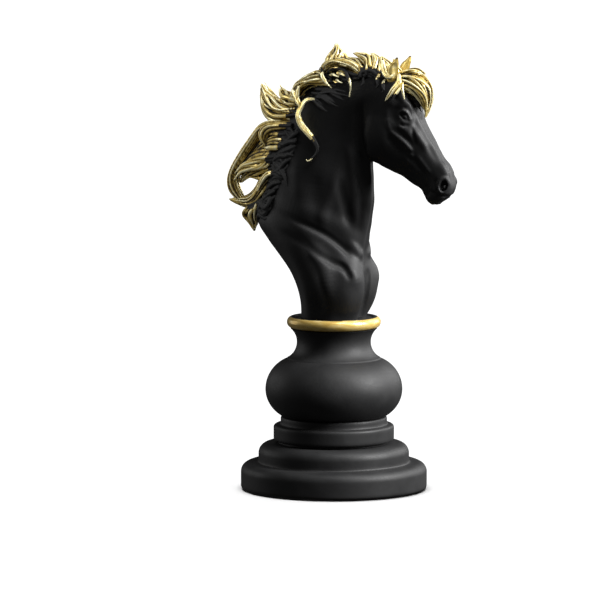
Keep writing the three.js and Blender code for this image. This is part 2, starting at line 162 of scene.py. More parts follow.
# --- clay: sculpting in a distance field
class Clay:
    """A distance field in millimetres over the half y >= 0 of a shape that is mirrored in Y."""

    MARGIN = 3  # cells kept on the far side of the mirror
    BAND = 7.0  # mm, the largest distance kept

    def __init__(self, low, high, cell):
        self.cell = cell
        self.start = [math.floor(low[0] / cell), -self.MARGIN, math.floor(low[2] / cell)]
        size = [math.ceil(high[i] / cell) - self.start[i] + 1 for i in range(3)]
        self.axes = [(self.start[i] + np.arange(size[i])) * cell for i in range(3)]
        self.field = np.full(size, self.BAND, np.float32)

    def region(self, low, high):
        """The cells between two corners, and their X, Y and Z."""
        cut = []
        for axis, a, b in zip(self.axes, low, high):
            i = max(int((a - axis[0]) / self.cell), 0)
            j = min(int((b - axis[0]) / self.cell) + 2, len(axis))
            cut.append(slice(i, max(j, i)))
        x, y, z = (axis[c].astype(np.float32) for axis, c in zip(self.axes, cut))
        return tuple(cut), x[:, None, None], y[None, :, None], z[None, None, :]

    def skin_field(self, skin):
        made = np.empty(self.field.shape, np.float32)
        level_set(skin, self.cell, self.BAND / self.cell).copyToArray(made, ijk=tuple(self.start))
        return made

    def add(self, other, blend, cut=...):
        self.field[cut] = smooth_min(self.field[cut], other, blend)

    def add_ellipsoid(self, centre, radii, blend, tilt=0.0):
        cut, d = self.ellipsoid(centre, radii, blend, tilt)
        self.add(d, blend, cut)

    def cut_ellipsoid(self, centre, radii, blend, tilt=0.0):
        cut, d = self.ellipsoid(centre, radii, blend, tilt)
        self.field[cut] = -smooth_min(-self.field[cut], d, blend)

    def ellipsoid(self, centre, radii, blend, tilt):
        """The ellipsoid's distance near it. tilt turns it about Y, in degrees, X towards Z."""
        reach = max(radii) + blend + 2 * self.cell
        centre = np.asarray(centre, float)
        cut, x, y, z = self.region(centre - reach, centre + reach)
        x, y, z = x - centre[0], y - centre[1], z - centre[2]
        c, s = math.cos(math.radians(tilt)), math.sin(math.radians(tilt))
        u, w = x * c + z * s, z * c - x * s
        a = np.sqrt((u / radii[0]) ** 2 + (y / radii[1]) ** 2 + (w / radii[2]) ** 2)
        b = np.sqrt((u / radii[0] ** 2) ** 2 + (y / radii[1] ** 2) ** 2 + (w / radii[2] ** 2) ** 2)
        return cut, a * (a - 1) / np.maximum(b, 1e-6)

    def side(self, x, z):
        """The Y of the surface beside a point of the middle plane."""
        i, k = round(x / self.cell), round(z / self.cell)
        column = self.field[i - self.start[0], :, k - self.start[2]]
        inside = np.flatnonzero(column < 0)
        if not len(inside):
            return 0.0
        last = inside[-1]
        return self.axes[1][last] + self.cell * column[last] / (column[last] - column[last + 1])

    def stroke(self, path, width, amount, ends=(0.25, 0.25)):
        """Raises the surface along a path by amount, or sinks it, fading over both ends.

        A point of the path is X, Y and Z, or X and Z for a point on the side of the surface.
        """
        path = np.array([p if len(p) == 3 else (p[0], self.side(*p), p[1]) for p in path], float)
        length = np.linalg.norm(np.diff(path, axis=0), axis=1).sum()
        count = max(int(length / (0.3 * width)), 2) + 1
        points = smooth_rows(path, count)
        t = np.linspace(0, 1, count)
        fade = ramp(t / max(ends[0], 1e-3)) * ramp((1 - t) / max(ends[1], 1e-3))
        reach = 2.4 * width  # beyond it the effect is under 1 percent
        cut = self.region(points.min(0) - reach, points.max(0) + reach)[0]
        lift = np.zeros(self.field[cut].shape, np.float32)
        origin = [c.start for c in cut]
        for point, strength in zip(points, fade):
            near, px, py, pz = self.region(point - reach, point + reach)
            inner = tuple(slice(n.start - o, n.stop - o) for n, o in zip(near, origin))
            d2 = (px - point[0]) ** 2 + (py - point[1]) ** 2 + (pz - point[2]) ** 2
            lift[inner] = np.maximum(lift[inner], strength * np.exp(-d2 / width**2))
        self.field[cut] -= amount * lift

    def strokes(self, *rows):
        """Several strokes, each given by its path, width, amount and ends."""
        for row in rows:
            self.stroke(*row)

    def mesh(self):
        """Points and quads of the whole surface, both halves."""
        mirror = self.MARGIN
        whole = np.concatenate([self.field[:, :mirror:-1], self.field[:, mirror:]], axis=1)
        grid = openvdb.FloatGrid(self.BAND)
        corner = (self.start[0], 1 - (self.field.shape[1] - mirror), self.start[2])
        grid.copyFromArray(np.ascontiguousarray(whole), ijk=corner)
        grid.transform = openvdb.createLinearTransform(voxelSize=self.cell)
        return surface(grid)


def smooth_min(a, b, blend):
    h = np.clip(0.5 + 0.5 * (b - a) / blend, 0, 1)
    return b + (a - b) * h - blend * h * (1 - h)


def ramp(t):
    t = np.clip(t, 0, 1)
    return t * t * (3 - 2 * t)


# --- meshes
def added(name, data):
    """A new object in the scene."""
    made = bpy.data.objects.new(name, data)
    bpy.context.scene.collection.objects.link(made)
    return made


def mesh_object(name, points, quads):
    """An object from millimetre points, with smooth shading."""
    data = bpy.data.meshes.new(name)
    data.from_pydata((points * MM + np.array(FOOT)).tolist(), [], quads.tolist())
    data.validate()
    data.polygons.foreach_set("use_smooth", [True] * len(data.polygons))
    data.update()
    return added(name, data)


def finished(piece, material, node):
    """Gives a piece its material, hangs it on the root body and hides the CAD node that it takes the place
    of.
    """
    piece.data.materials.append(material)
    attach(piece, ROOT)
    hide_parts(node)
    return piece


def store(piece, label, values):
    layer = piece.data.attributes.new(label, "FLOAT", "POINT")
    layer.data.foreach_set("value", np.asarray(values, np.float32))


# --- the bust
CELL = 0.45

# Sections of the neck: X and Z of the front, X and Z of the crest, then the half-widths at five places
# from the front to the crest.
NECK = [
    (15.4, 92, -16.8, 92, 7, 15.4, 17.2, 15, 7.5),
    (16, 102, -17, 101, 7.6, 17, 19.2, 16.8, 8),
    (16.4, 111, -19.5, 109.5, 8.2, 18.2, 20.6, 17.4, 8),
    (16.8, 120, -23.8, 117.5, 7.6, 18, 20.8, 17.5, 8),
    (18.2, 129, -30.4, 125.2, 6.2, 16.2, 20.2, 17, 7.5),
    (19.8, 137.5, -37.8, 133.5, 5.2, 14.2, 19.2, 16.5, 7),
    (21.8, 147, -44.3, 143, 4, 12.6, 17.8, 15, 6),
    (23.2, 157, -41, 155, 3.6, 11.8, 16.4, 13.6, 5.4),
    (23.2, 168, -36, 170, 3.4, 11, 14.8, 12.4, 5),
    (22.6, 178, -31.5, 186, 3.6, 9.6, 13.2, 11.4, 4.8),
    (23.4, 187, -25, 202, 4.6, 8.6, 11.6, 10.4, 4.6),
    (28, 195, -13, 214, 5, 8.4, 10.6, 9.4, 4.4),
    (36, 200, 3, 222.3, 5, 8, 10, 8.4, 4.2),
    (42, 205, 20, 224.5, 4.5, 7.5, 9, 7.5, 4),
]
# Sections of the head from the poll to the lips, in the same way from the forehead to the jaw.
HEAD = [
    (33, 226.5, 18, 218, 4, 6.5, 7, 6.5, 4),
    (41, 221.5, 19, 206, 6.6, 9.6, 9.8, 9, 5.6),
    (46.2, 214.5, 21, 194.5, 7.8, 10.8, 10.4, 9.4, 5.6),
    (49.8, 207.5, 23.5, 184, 7.6, 10.9, 10.6, 9.6, 5.2),
    (52.7, 200.5, 28.5, 176.4, 6.4, 9.7, 9.9, 9.2, 4.8),
    (56.6, 193.6, 36, 172.6, 5.3, 8.2, 8.4, 7.7, 4.2),
    (60.9, 187, 42, 170.2, 4.6, 6.8, 7, 6, 3.6),
    (65.1, 180.3, 48, 166.4, 4.2, 6, 6, 5, 3.3),
    (68.7, 174.6, 53, 163.8, 4, 5.7, 5.7, 4.8, 3.3),
    (70.6, 169.4, 55.5, 160.2, 3.8, 5.7, 5.9, 5.1, 3.6),
    (71.2, 164.8, 58.3, 157.1, 3.3, 5.1, 5.4, 5, 3.7),
    (69.8, 160.9, 61.8, 156.1, 2.3, 3.6, 4, 3.8, 2.7),
]
PLACES = (0.06, 0.5, 1.0, 1.5, 1.94)  # how far along the section each half-width stands, of 2
SECTION_STEPS = 24  # from one half-width to the next
RING_POINTS = 96
BODY_RINGS = 90


def section(row):
    """A closed ring round the body at one station."""
    front = np.array([row[0], 0, row[1]])
    back = np.array([row[2], 0, row[3]])
    outline = [(0.0, 0.0)] + list(zip(PLACES, row[4:])) + [(2.0, 0.0)]
    outline += [(p, -y) for p, y in reversed(outline[1:-1])]
    loop = np.array([outline[-1]] + outline + outline[:2])
    steps = smooth_rows(loop, (len(loop) - 1) * SECTION_STEPS + 1)[SECTION_STEPS : -2 * SECTION_STEPS]
    ring = steps[np.linspace(0, len(steps), RING_POINTS, endpoint=False).astype(int)]
    return front + (back - front) * (ring[:, :1] / 2) + np.array([0, 1, 0]) * ring[:, 1:]


def body_skin(stations):
    return loft([section(row) for row in smooth_rows(stations, BODY_RINGS)])


def sculpt_bust():
    clay = Clay((-50, 0, 84), (78, 24, 232), CELL)
    clay.field = clay.skin_field(body_skin(NECK))
    clay.add(clay.skin_field(body_skin(HEAD)), 2.0)
    chest(clay)
    neck_muscles(clay)
    cheek(clay)
    face(clay)
    muzzle(clay)
    return clay.mesh()


def chest(clay):
    # the two breast muscles with the furrow between them
    clay.add_ellipsoid((12.0, 8.3, 110.8), (8.7, 8.9, 14.6), 9, tilt=-3)
    clay.strokes(
        (
            [(19.6, 2.2, 119), (20, 1.4, 113), (18.4, 1, 105), (16.6, 0.6, 96), (15, 0.4, 86)],
            1.6, -2.3, (0.25, 0),
        ),
        ([(16.6, 14, 120.5), (19, 12.8, 116.5), (19.8, 11.8, 111.5)], 3.2, 1.1, (0.3, 0.4)),
        # the shoulder and the hollow behind it
        (
            [(-6.4, 132.6), (-2.6, 129), (1, 124.8), (3.6, 119.6), (5.2, 112), (5.6, 104)],
            4.6, 2.6, (0.25, 0.3),
        ),
        ([(-14, 130), (-9, 124), (-5, 117.6), (-2, 110.3), (0, 102), (0.6, 95)], 4.6, -2, (0.3, 0.2)),
    )


def neck_muscles(clay):
    clay.strokes(
        # the long ridge that runs from the withers down to the point of the breast, and the groove under it
        (
            [(-27, 155), (-11.4, 151.5), (-0.6, 147.4), (8.6, 142.6), (14.4, 137.6), (17.4, 132.6)],
            4.8, 1.4, (0.35, 0.2),
        ),
        ([(12, 137), (15.4, 133), (17.6, 129.4), (18.4, 127.2)], 2.2, 1.4, (0.5, 0.12)),
        (
            [
                (-27, 151), (-19.5, 148), (-11.7, 144.9), (-4.9, 142), (1.4, 139), (7.1, 135.2),
                (12.5, 130.2), (15.4, 127),
            ],
            1.8, -1.25, (0.3, 0.2),
        ),
        # the second ridge and its groove
        (
            [
                (-24, 146.4), (-16.5, 143.9), (-8, 140.7), (-0.8, 137.3), (4.5, 133.9), (9.6, 130.2),
                (13.6, 126.8),
            ],
            4, 1, (0.3, 0.2),
        ),
        (
            [
                (-24, 139.8), (-18, 137.9), (-10.4, 134.8), (-3.5, 131.4), (1.7, 128), (6.9, 124.6),
                (12.4, 122), (16, 120.4),
            ],
            2, -1.5, (0.3, 0.2),
        ),
        ([(10, 123.4), (13.6, 121.2), (16.4, 118.4), (18, 115)], 1.5, -1.6, (0.4, 0.3)),
        # the muscles that run down the neck
        (
            [(8.6, 176), (7.4, 168.5), (6.2, 162.6), (3.9, 157), (1.9, 151.6), (1.4, 147), (3.1, 142.9)],
            3, 1.7, (0.3, 0.25),
        ),
        ([(-3.1, 170), (-3.9, 160), (-4.2, 153)], 4.4, -1.1, (0.35, 0.5)),
        ([(9.2, 168), (10, 162), (11.2, 156), (12.6, 149.4), (13.8, 142.6)], 2.4, -1.3),
        (
            [(12.8, 186), (13.9, 179), (15.2, 170), (16.2, 159.5), (16.2, 149.9), (16.6, 140.8)],
            2.1, 1.3, (0.2, 0.25),
        ),
        ([(22, 2.6, 160), (21.4, 4.2, 153), (20.4, 4.6, 147), (19.2, 3.4, 139)], 2.8, 0.7),
        ([(-16, 176), (-14, 165), (-12, 157)], 4.6, 0.7, (0.3, 0.4)),
    )


def cheek(clay):
    clay.add_ellipsoid((33.0, 0, 192.3), (14.4, 12.0, 17.3), 1.3)
    clay.add_ellipsoid((26.6, 0, 182.8), (5.8, 8.6, 5.8), 2.0)
    clay.strokes(
        # the crease behind the cheek
        (
            [(22, 211), (19.6, 204), (18.4, 197), (18, 190), (18.8, 184), (20.4, 179.5)],
            2.2, -1.9, (0.3, 0.1),
        ),
        ([(30, 205), (26, 199), (24.6, 192), (26.6, 185), (32, 180)], 4, 0.6),
    )


def face(clay):
    clay.strokes(
        # the hollow over the eye and the dark socket behind it
        ([(41, 213), (43.4, 210)], 2, -1),
        ([(42.6, 208), (41.8, 203.4), (42.2, 199.4)], 2.2, -2),
        ([(39.4, 206.6), (39.8, 202.6)], 2.2, -1),
    )
    # the eye: its opening, the ball and the two lids
    clay.cut_ellipsoid((46.4, 11.2, 202.6), (3.1, 2.7, 1.9), 0.4, tilt=-35)
    clay.add_ellipsoid((46.9, 7.5, 202.2), (1.8, 2.3, 1.4), 0.12, tilt=-35)
    clay.strokes(
        ([(44.2, 205), (46, 205.6), (47.8, 204.8), (49, 203), (49.6, 200.6)], 0.6, 1.1, (0.3, 0.1)),
        ([(45.4, 200.2), (46.8, 199.4), (48.4, 199.4)], 0.5, 0.7, (0.3, 0.3)),
        ([(43.8, 205.2), (45.6, 207), (47.6, 207)], 0.6, -0.8),
        ([(44.6, 198.2), (46.8, 197.4), (49, 198)], 0.7, -0.8),
        ([(45, 196.8), (47.6, 195.4), (49.8, 192.4)], 2, 0.7),
        # the rim of bone in front of the eye
        ([(45.6, 210.6), (48.6, 208.4), (50.4, 204.4), (50.8, 198.4)], 1.2, 1.1, (0.2, 0.2)),
        # the facial crest and the hollows beside it
        (
            [(38.8, 195), (41.4, 192.8), (44.8, 190.2), (47.8, 187.4), (50.4, 184.4)],
            0.9, 1.8, (0.25, 0.08),
        ),
        ([(37.4, 201), (37.8, 198.4), (39, 195.4)], 1.2, 0.6),
        ([(38.4, 191.8), (42, 187.6), (45.6, 183.8)], 2, -0.9),
        ([(43, 195.8), (46, 193), (49.4, 189.2), (51.4, 186)], 1.4, -0.9),
        ([(49.4, 182.8), (50.8, 181.6)], 1, 0.7, (0.4, 0.4)),
        # the muscle from under the eye to the nostril
        ([(51.8, 196), (54.4, 192.4), (57, 188.8), (59, 185.6)], 2.4, 1.6, (0.25, 0.3)),
        ([(51, 196.8), (51.6, 192.4), (52.6, 187)], 0.9, -0.8),
        # the groove beside the nose bone
        (
            [
                (49.6, 6.4, 208.4), (51.4, 6.9, 201.1), (54.6, 6.2, 194.8), (58.7, 5.4, 188.1),
                (63.2, 4.8, 181.4), (66, 4.6, 177),
            ],
            1.9, -1.5, (0.15, 0.35),
        ),
        # the lines along the jaw
        ([(46, 181), (50, 176.7), (54.3, 172.4)], 1.1, 0.6),
        ([(50.9, 180.5), (54.8, 176), (58.4, 171.4)], 1, -0.7),
        ([(53, 182), (57, 177), (60.4, 172.6)], 1.1, 0.6),
        ([(42, 178.6), (47, 174.4), (51.6, 170.6)], 1.2, -0.5),
    )


def muzzle(clay):
    # the lips and the chin
    clay.add_ellipsoid((60.0, 0, 159.6), (4.2, 4.5, 3.7), 1.5)
    clay.strokes(
        (
            [(71, 0.6, 160.4), (69.2, 2.6, 160.4), (67, 161), (64.2, 161.6), (60.4, 163.4)],
            0.75, -1.4, (0.1, 0.3),
        ),
        ([(69.4, 2.6, 162.4), (68, 162.8), (65.4, 163.4)], 1, 0.6, (0.4, 0.3)),
        ([(68.4, 158.8), (65.6, 158.6), (62.4, 159.4)], 1.1, 0.8),
        ([(57.4, 166.4), (58.6, 163.2), (57.6, 160.4)], 1.2, -0.9),
    )
    for x in (59.4, 62.6, 65.6):
        clay.stroke([(x, 0, 155.9), (x, 3, 156.4)], 0.8, 0.5, (0.5, 0.5))
    # the nostril: its flared rim, the opening and the fold inside
    clay.add_ellipsoid((67.2, 3.8, 166), (3.4, 2.9, 4.8), 1.2, tilt=-14)
    clay.stroke(
        [
            (67.6, 162.4), (65.9, 163.8), (65.4, 166.6), (66.4, 169.4), (68.4, 170.4), (70.2, 169),
            (70.8, 166.4),
        ],
        0.8, 1.5, (0.15, 0.15),
    )
    clay.cut_ellipsoid((68.2, 6.6, 166.2), (2.1, 3.5, 3.1), 0.4, tilt=-12)
    clay.add_ellipsoid((68.1, 3.6, 165.6), (1.1, 2.2, 1.5), 0.3, tilt=-15)
    clay.strokes(
        ([(65.6, 2.6, 177.5), (67.6, 2.8, 174.6), (69.6, 2.8, 171.4)], 2.2, 0.8, (0.3, 0.3)),
        ([(63.6, 169.6), (63.2, 166), (64.6, 162.6)], 0.9, -0.7),
    )


# --- locks of hair
HAIR_CELL = 0.27
STRAND_SIDES = 8
STRAND_STEPS = 30
CORE_SIDES = 20
THINNEST = 0.3  # mm, the smallest radius of a strand
SPECK = 300  # points, the largest stray speck to leave out
SKIN_BAND = 3.0  # cells of the distance field on each side of the skin
RIDGE_HEIGHT = 0.16  # mm above the smoothed surface at which a strand counts as fully raised
RIDGE_ROUNDS = 8  # how often it is smoothed
EAR_LIFT = 0.25  # counts the whole ear as that much more raised, which moves it up the ramp from painted shade to painted highlight


def tube(path, radii, sides=STRAND_SIDES):
    """The rings of a round strand whose radius changes along it."""
    tangent = np.gradient(path, axis=0)
    tangent /= np.linalg.norm(tangent, axis=1, keepdims=True)
    across = np.cross(tangent, (0, 1, 0)) + np.array([1e-4, 0, 1e-4])
    across /= np.linalg.norm(across, axis=1, keepdims=True)
    out = np.cross(across, tangent)
    angle = np.linspace(0, 2 * math.pi, sides, endpoint=False)
    circle = np.cos(angle)[None, :, None] * across[:, None] + np.sin(angle)[None, :, None] * out[:, None]
    return path[:, None] + radii[:, None, None] * circle


GILDED = (-1.0, 9.0)  # gold from end to end
BLACK = (9.0, 10.0)


class Casting:
    """One casting of the mane: strands and the cores under them, fused into one skin."""

    def __init__(self, neck, seed):
        self.neck = neck
        self.chance = np.random.default_rng(seed)
        self.skins = []
        self.samples = []  # X, Y, Z and how gilded the strand is there

    def strand(self, path, radii, gilding):
        self.skins.append(loft(tube(path, radii)))
        self.samples.append(np.column_stack([path, gilding]))

    def core(self, rows, side, reach):
        """The body of a lock under its strands, up to a share of its length."""
        t = np.linspace(0, reach, STRAND_STEPS)
        here = along(rows, t)
        middle = (here[:, :2] + here[:, 2:4]) / 2
        half = (here[:, :2] - here[:, 2:4]) / 2 * 0.8
        closing = np.sqrt(np.clip((reach - t) / (0.3 * reach), 0.02, 1))
        y, h = along(side, t), here[:, 4] * 0.7 * closing
        angle = np.linspace(0, 2 * math.pi, CORE_SIDES, endpoint=False)
        flat = middle[:, None] + (half * closing[:, None])[:, None] * np.cos(angle)[None, :, None]
        rings = np.stack([flat[..., 0], y[:, None] + h[:, None] * np.sin(angle), flat[..., 1]], -1)
        self.skins.append(loft(rings))

    def sheaf(self, count, *rows, side=0.0, gilt=GILDED, twin=False, loose=0.5, ragged=0.2):
        """A lock of hair from its root to its tip.

        It has count strands on each face. A row is X and Z of one edge, X and Z of the other and the
        half-thickness there. side is the Y of its middle, gilt the shares of its length where the gold
        starts and stops, loose how far the strands wander, ragged the share of the length over which
        they end. A twin stands mirrored on the other side of the neck.
        """
        rows = np.array(rows, float)
        side = np.atleast_1d(side).astype(float)
        for place in (side, -side) if twin else (side,):
            self.core(rows, place, 1 - 0.6 * ragged)
            for face in (-1, 1):
                for i in range(count):
                    self.sheaf_strand(rows, place, face, i, count, gilt, loose, ragged)

    def sheaf_strand(self, rows, side, face, number, count, gilt, loose, ragged):
        chance = self.chance
        gap = 1 / count
        end = 1 - ragged * chance.random() ** 1.5
        t = np.linspace(0, 1, STRAND_STEPS)
        share = number / count + (0.5 + chance.uniform(-0.25, 0.25)) * gap
        wave = chance.uniform(0.6, 1.4) * gap * loose
        share = share + wave * np.sin(2 * math.pi * (chance.uniform(0.6, 1.3) * t + chance.random()))
        share = np.clip(share, 0.02, 0.98)[:, None]
        here = along(rows, t * end)
        flat = here[:, :2] * (1 - share) + here[:, 2:4] * share
        width = np.linalg.norm(here[:, :2] - here[:, 2:4], axis=1)
        bulge = np.sqrt(np.clip(1 - (2 * share[:, 0] - 1) ** 2, 0.05, 1))
        lift = chance.uniform(-0.35, 0.45)
        radius = np.clip(0.68 * width * gap, 0.35, 1.2) * chance.uniform(0.6, 1.4)
        taper = np.clip((1 - t) / (0.08 + ragged), 0, 1) ** 0.7 * (0.75 + 0.25 * np.clip(t / 0.15, 0, 1))
        y = along(side, t * end) + face * (here[:, 4] * bulge * (1 - 0.25 * t) + lift * radius)
        path = np.column_stack([flat[:, 0], y, flat[:, 1]])
        self.strand(path, np.maximum(radius * taper, THINNEST), self.gold(t, gilt) * chance.uniform(0.55, 1))

    def gold(self, t, gilt):
        start = gilt[0] + self.chance.uniform(-0.05, 0.07)
        stop = gilt[1] + self.chance.uniform(-0.03, 0.03)
        return ramp((t - start) / 0.08 + 0.5) * ramp((stop - t) / 0.08 + 0.5)

    def wisp(self, path, radius, gilt=GILDED, twin=True, count=3, spread=0.8, root=0.6):
        """A few strands twisted about one path in X, Y and Z.

        spread is how far apart they run and root how thick they start, as shares of the radius.
        """
        chance = self.chance
        t = np.linspace(0, 1, STRAND_STEPS)
        taper = np.clip((1 - t) / 0.45, 0, 1) ** 0.7 * (root + (1 - root) * np.clip(t / 0.25, 0, 1))
        for mirror in (1, -1) if twin else (1,):
            for i in range(count):
                apart = radius * spread * np.sin(math.pi * t) ** 0.6 * (count > 1)
                turn = 2 * math.pi * (i + chance.random() * 0.5) / count + chance.uniform(1.0, 2.5) * t
                shift = apart[:, None] * np.column_stack([np.cos(turn), 0.5 * np.sin(turn), np.sin(turn)])
                end = 1 - 0.12 * chance.random() * (i > 0)
                line = (along(path, t * end) + shift) * np.array([1, mirror, 1])
                self.strand(line, np.maximum(radius * taper, THINNEST), self.gold(t, gilt))

    def skin(self):
        return without_crumbs(*surface(level_set(joined(self.skins), HAIR_CELL, SKIN_BAND)))

    def gilding(self, points):
        """How gilded the strand nearest to each point is."""
        samples = np.concatenate(self.samples)
        tree = KDTree(len(samples))
        for i, place in enumerate(samples[:, :3]):
            tree.insert(place, i)
        tree.balance()
        nearest = np.fromiter((tree.find(p)[1] for p in points.tolist()), int, len(points))
        return samples[nearest, 3]


def ridges(points, quads, lift=0.0):
    """How far each point stands out of the surface smoothed over its neighbours, from -1 to 1."""
    links = edges(quads)
    count = len(points)
    share = np.maximum(np.bincount(links[:, 0], minlength=count), 1)[:, None]
    smooth = points
    for _ in range(RIDGE_ROUNDS):
        near = [np.bincount(links[:, 0], smooth[links[:, 1], i], minlength=count) for i in range(3)]
        smooth = np.stack(near, -1) / share
    faces = np.cross(points[quads[:, 2]] - points[quads[:, 0]], points[quads[:, 3]] - points[quads[:, 1]])
    sums = [sum(np.bincount(corner, f, minlength=count) for corner in quads.T) for f in faces.T]
    normal = np.stack(sums, -1)
    normal /= np.maximum(np.linalg.norm(normal, axis=1, keepdims=True), 1e-9)
    return np.clip(((points - smooth) * normal).sum(1) / RIDGE_HEIGHT + lift, -1, 1)


def without_crumbs(points, quads):
    """The skin without the specks that are left where strands nearly touch."""
    links = edges(quads)
    part, before = np.arange(len(points)), None
    while before is None or (part != before).any():
        before = part
        low = np.minimum(part[links[:, 0]], part[links[:, 1]])
        part = part.copy()
        np.minimum.at(part, before[links].T.ravel(), np.tile(low, 2))
        part = part[part]
    return kept(points, quads, np.bincount(part, minlength=len(points))[part] > SPECK)


def kept(points, quads, keep):
    """The part of a mesh whose points are kept, with the points numbered again."""
    number = np.cumsum(keep) - 1
    return points[keep], number[quads[keep[quads].all(1)]]


def cast_lock(node, casting, material):
    """Meshes a casting and stores how gilded and how raised it is at each point."""
    points, quads = casting.skin()
    piece = mesh_object(node + "_hair", points, quads)
    store(piece, "gilt", casting.gilding(points))
    store(piece, "ridge", ridges(points, quads))
    return finished(piece, material, node)


class Neck:
    """Puts points of the mane on the skin of the bust."""

    def __init__(self, bust):
        points = [(v.co - FOOT) / MM for v in bust.data.vertices]
        self.tree = BVHTree.FromPolygons(points, [tuple(p.vertices) for p in bust.data.polygons])

    def on(self, path, lift):
        """Points in X, Y and Z over the right side of the neck, lift outside its skin."""
        path, places = np.asarray(path, float), []
        lifts = along(lift, np.linspace(0, 1, len(path)))
        last = -2.0  # where a point stands that isn't beside the neck, nearer the middle with each one
        for (x, z), out in zip(path, lifts):
            hit = self.tree.ray_cast(Vector((x, -30, z)), Vector((0, 1, 0)))[0]
            if hit is not None:
                last = hit.y
            places.append((x, last - out, z))
            last += 1.5
        return places


# --- the mane
def forelock(hair):
    # the lock that falls over the forehead, the strands on top of it and the black ones under it
    hair.sheaf(
        13,
        (38, 224.5, 38, 216.5, 5.5), (43, 225.5, 42.5, 215.4, 7.6), (48.5, 225.5, 47, 213.6, 8.2),
        (53.5, 223, 50.6, 211.2, 7.8), (57.5, 218.5, 53, 208.4, 6.6), (58.2, 212.5, 54.2, 206, 4.8),
        (57, 207, 54.6, 203.6, 3), (54.6, 201.6, 54.4, 201.4, 0.8),
        loose=1.1,
    )
    hair.sheaf(
        4,
        (39, 224.5, 40, 221, 3), (44.5, 227, 45, 223.5, 4.5), (50, 227.3, 50, 224.5, 4.5),
        (54.5, 225, 54, 224, 2),
        side=-1,
    )
    hair.sheaf(
        6,
        (40, 222, 40, 214, 5), (46, 222, 44.5, 211, 5.4), (51, 219, 48.5, 208.5, 4.6),
        (54, 213.5, 51, 206, 3.2), (54.6, 207.5, 52.6, 204, 2),
        gilt=BLACK,
    )
    hair.wisp(
        [(42, -6.5, 224.5), (42.8, -8.6, 220), (39.8, -10.6, 215), (36.4, -11.2, 210.3)],
        1, count=4, spread=0.9,
    )
    hair.wisp(
        [(44, -7, 222), (44, -9.6, 217.5), (41.5, -11.3, 213), (41, -11.6, 209.5)],
        0.6, gilt=(-0.1, 0.6), count=2,
    )
    hair.wisp([(45, -7.5, 221), (45.6, -9.3, 216.5), (47.2, -9.9, 211.5)], 0.6, count=2)


def poll(hair):
    # a black bed with short gold locks that stand up from it
    hair.sheaf(
        6,
        (38, 222, 36, 217, 5.5), (32, 226, 30, 219, 7), (26, 228.5, 24, 220.5, 7.5),
        (20, 228.5, 18, 220.5, 7.5), (15, 228, 14, 220.5, 7),
        gilt=BLACK,
    )
    for root, tip, width, lean in (
        ((22.5, 222.5), (11.8, 234.6), 4.0, 4.4),
        ((19.5, 222), (7.5, 232), 2.8, 3.2),
        ((25.5, 222.5), (22.4, 235), 3.2, 2.4),
        ((28.6, 222), (28.4, 233.4), 2.8, 1.8),
        ((32, 221), (29.8, 232), 2.8, 2.2),
        ((36, 220), (33, 229.6), 2.8, 2.2),
    ):
        tuft(hair, root, tip, width, lean)
    hair.wisp(
        [
            (32.4, -6.6, 231.6), (33.4, -7.6, 227.5), (35.4, -8.6, 224.2), (38.4, -9, 223),
            (40.6, -8.6, 225),
        ],
        0.9,
    )
    for x, z in ((30.5, 224), (21, 224.5), (34.5, 221.5)):
        path = hair.neck.on([(x, z), (x - 0.6, z - 2.4), (x + 0.4, z - 5), (x - 0.8, z - 7)], -0.1)
        hair.wisp(path, 0.8, gilt=(-0.3, 0.3), count=2)


def tuft(hair, root, tip, width, lean):
    """A short lock that stands up from the crest and bends towards its tip."""
    root, tip = np.array(root, float), np.array(tip, float)
    t = np.linspace(0, 1, 5)[:, None]
    spine = root * (1 - t) + tip * t + np.array([lean, 0.4 * abs(lean)]) * np.sin(math.pi * t)
    across = np.array([tip[1] - root[1], root[0] - tip[0]])
    across = across / np.linalg.norm(across) * width * np.sqrt(np.clip(1 - t, 0.01, 1))
    depth = np.array([[7], [6.5], [5.4], [3.6], [0.8]])
    hair.sheaf(4, *np.hstack([spine - across, spine + across, depth]), gilt=(0.25, 9), ragged=0.07)


def crest(hair):
    # the big lock, the point on top of it and the black bed
    hair.sheaf(
        10,
        (21.5, 225.5, 19.5, 221.5, 6), (15, 230.5, 14, 225.5, 8.2), (8.5, 232.2, 8.5, 227, 8.8),
        (1, 232, 3.5, 227, 8.8), (-4.5, 229.5, 0, 225.5, 8.2), (-6.6, 226, -1.6, 222.5, 7.2),
        (-5.6, 221, -0.5, 217.5, 5),
        loose=1,
    )
    hair.sheaf(
        5,
        (-4.5, 229, 7, 230.5, 5), (-2.2, 232.8, 6.4, 233.6, 3.6), (-0.4, 236, 4.2, 236.4, 2),
        (0.8, 239.2, 1.8, 239.4, 0.5),
        ragged=0.05,
    )
    hair.sheaf(
        7,
        (18, 227, 18, 214, 6.4), (10, 229, 10, 213, 6.6), (2, 229, 2, 213, 6.4), (-5, 226, -4, 213, 5.6),
        gilt=BLACK,
    )
    hair.wisp(
        [(9.4, -7, 226.5), (13, -9.4, 222.5), (15.2, -10.2, 218), (14.6, -10.6, 211.6)],
        0.6, gilt=(0.5, 9), count=2,
    )
    hair.wisp(
        [(-4, -6.5, 226.5), (-2.6, -8.6, 222.5), (0.6, -9.4, 218.5), (3.8, -9.6, 216)],
        0.7, gilt=(0.25, 9), count=2,
    )
    for x, z, length in ((0.5, 223, 7), (3.6, 220, 6), (5, 223.6, 7)):
        bends = ((0, -5, 0), (0.35, -7.6, 0.4), (0.7, -8.4, -0.4), (1, -8.6, -1))
        hair.wisp([(x + length * share, y, z + rise) for share, y, rise in bends], 0.35, count=2, spread=1)
    hair.wisp(
        [(2, 0, 223), (-3, 0, 225.6), (-6.6, 0, 225.6), (-9, 0, 222)],
        1.6, gilt=BLACK, twin=False,
    )
    hair.wisp([(-6, 0, 214), (-12, 0, 214.6), (-18, 0, 212.6)], 1.8, gilt=BLACK, twin=False)


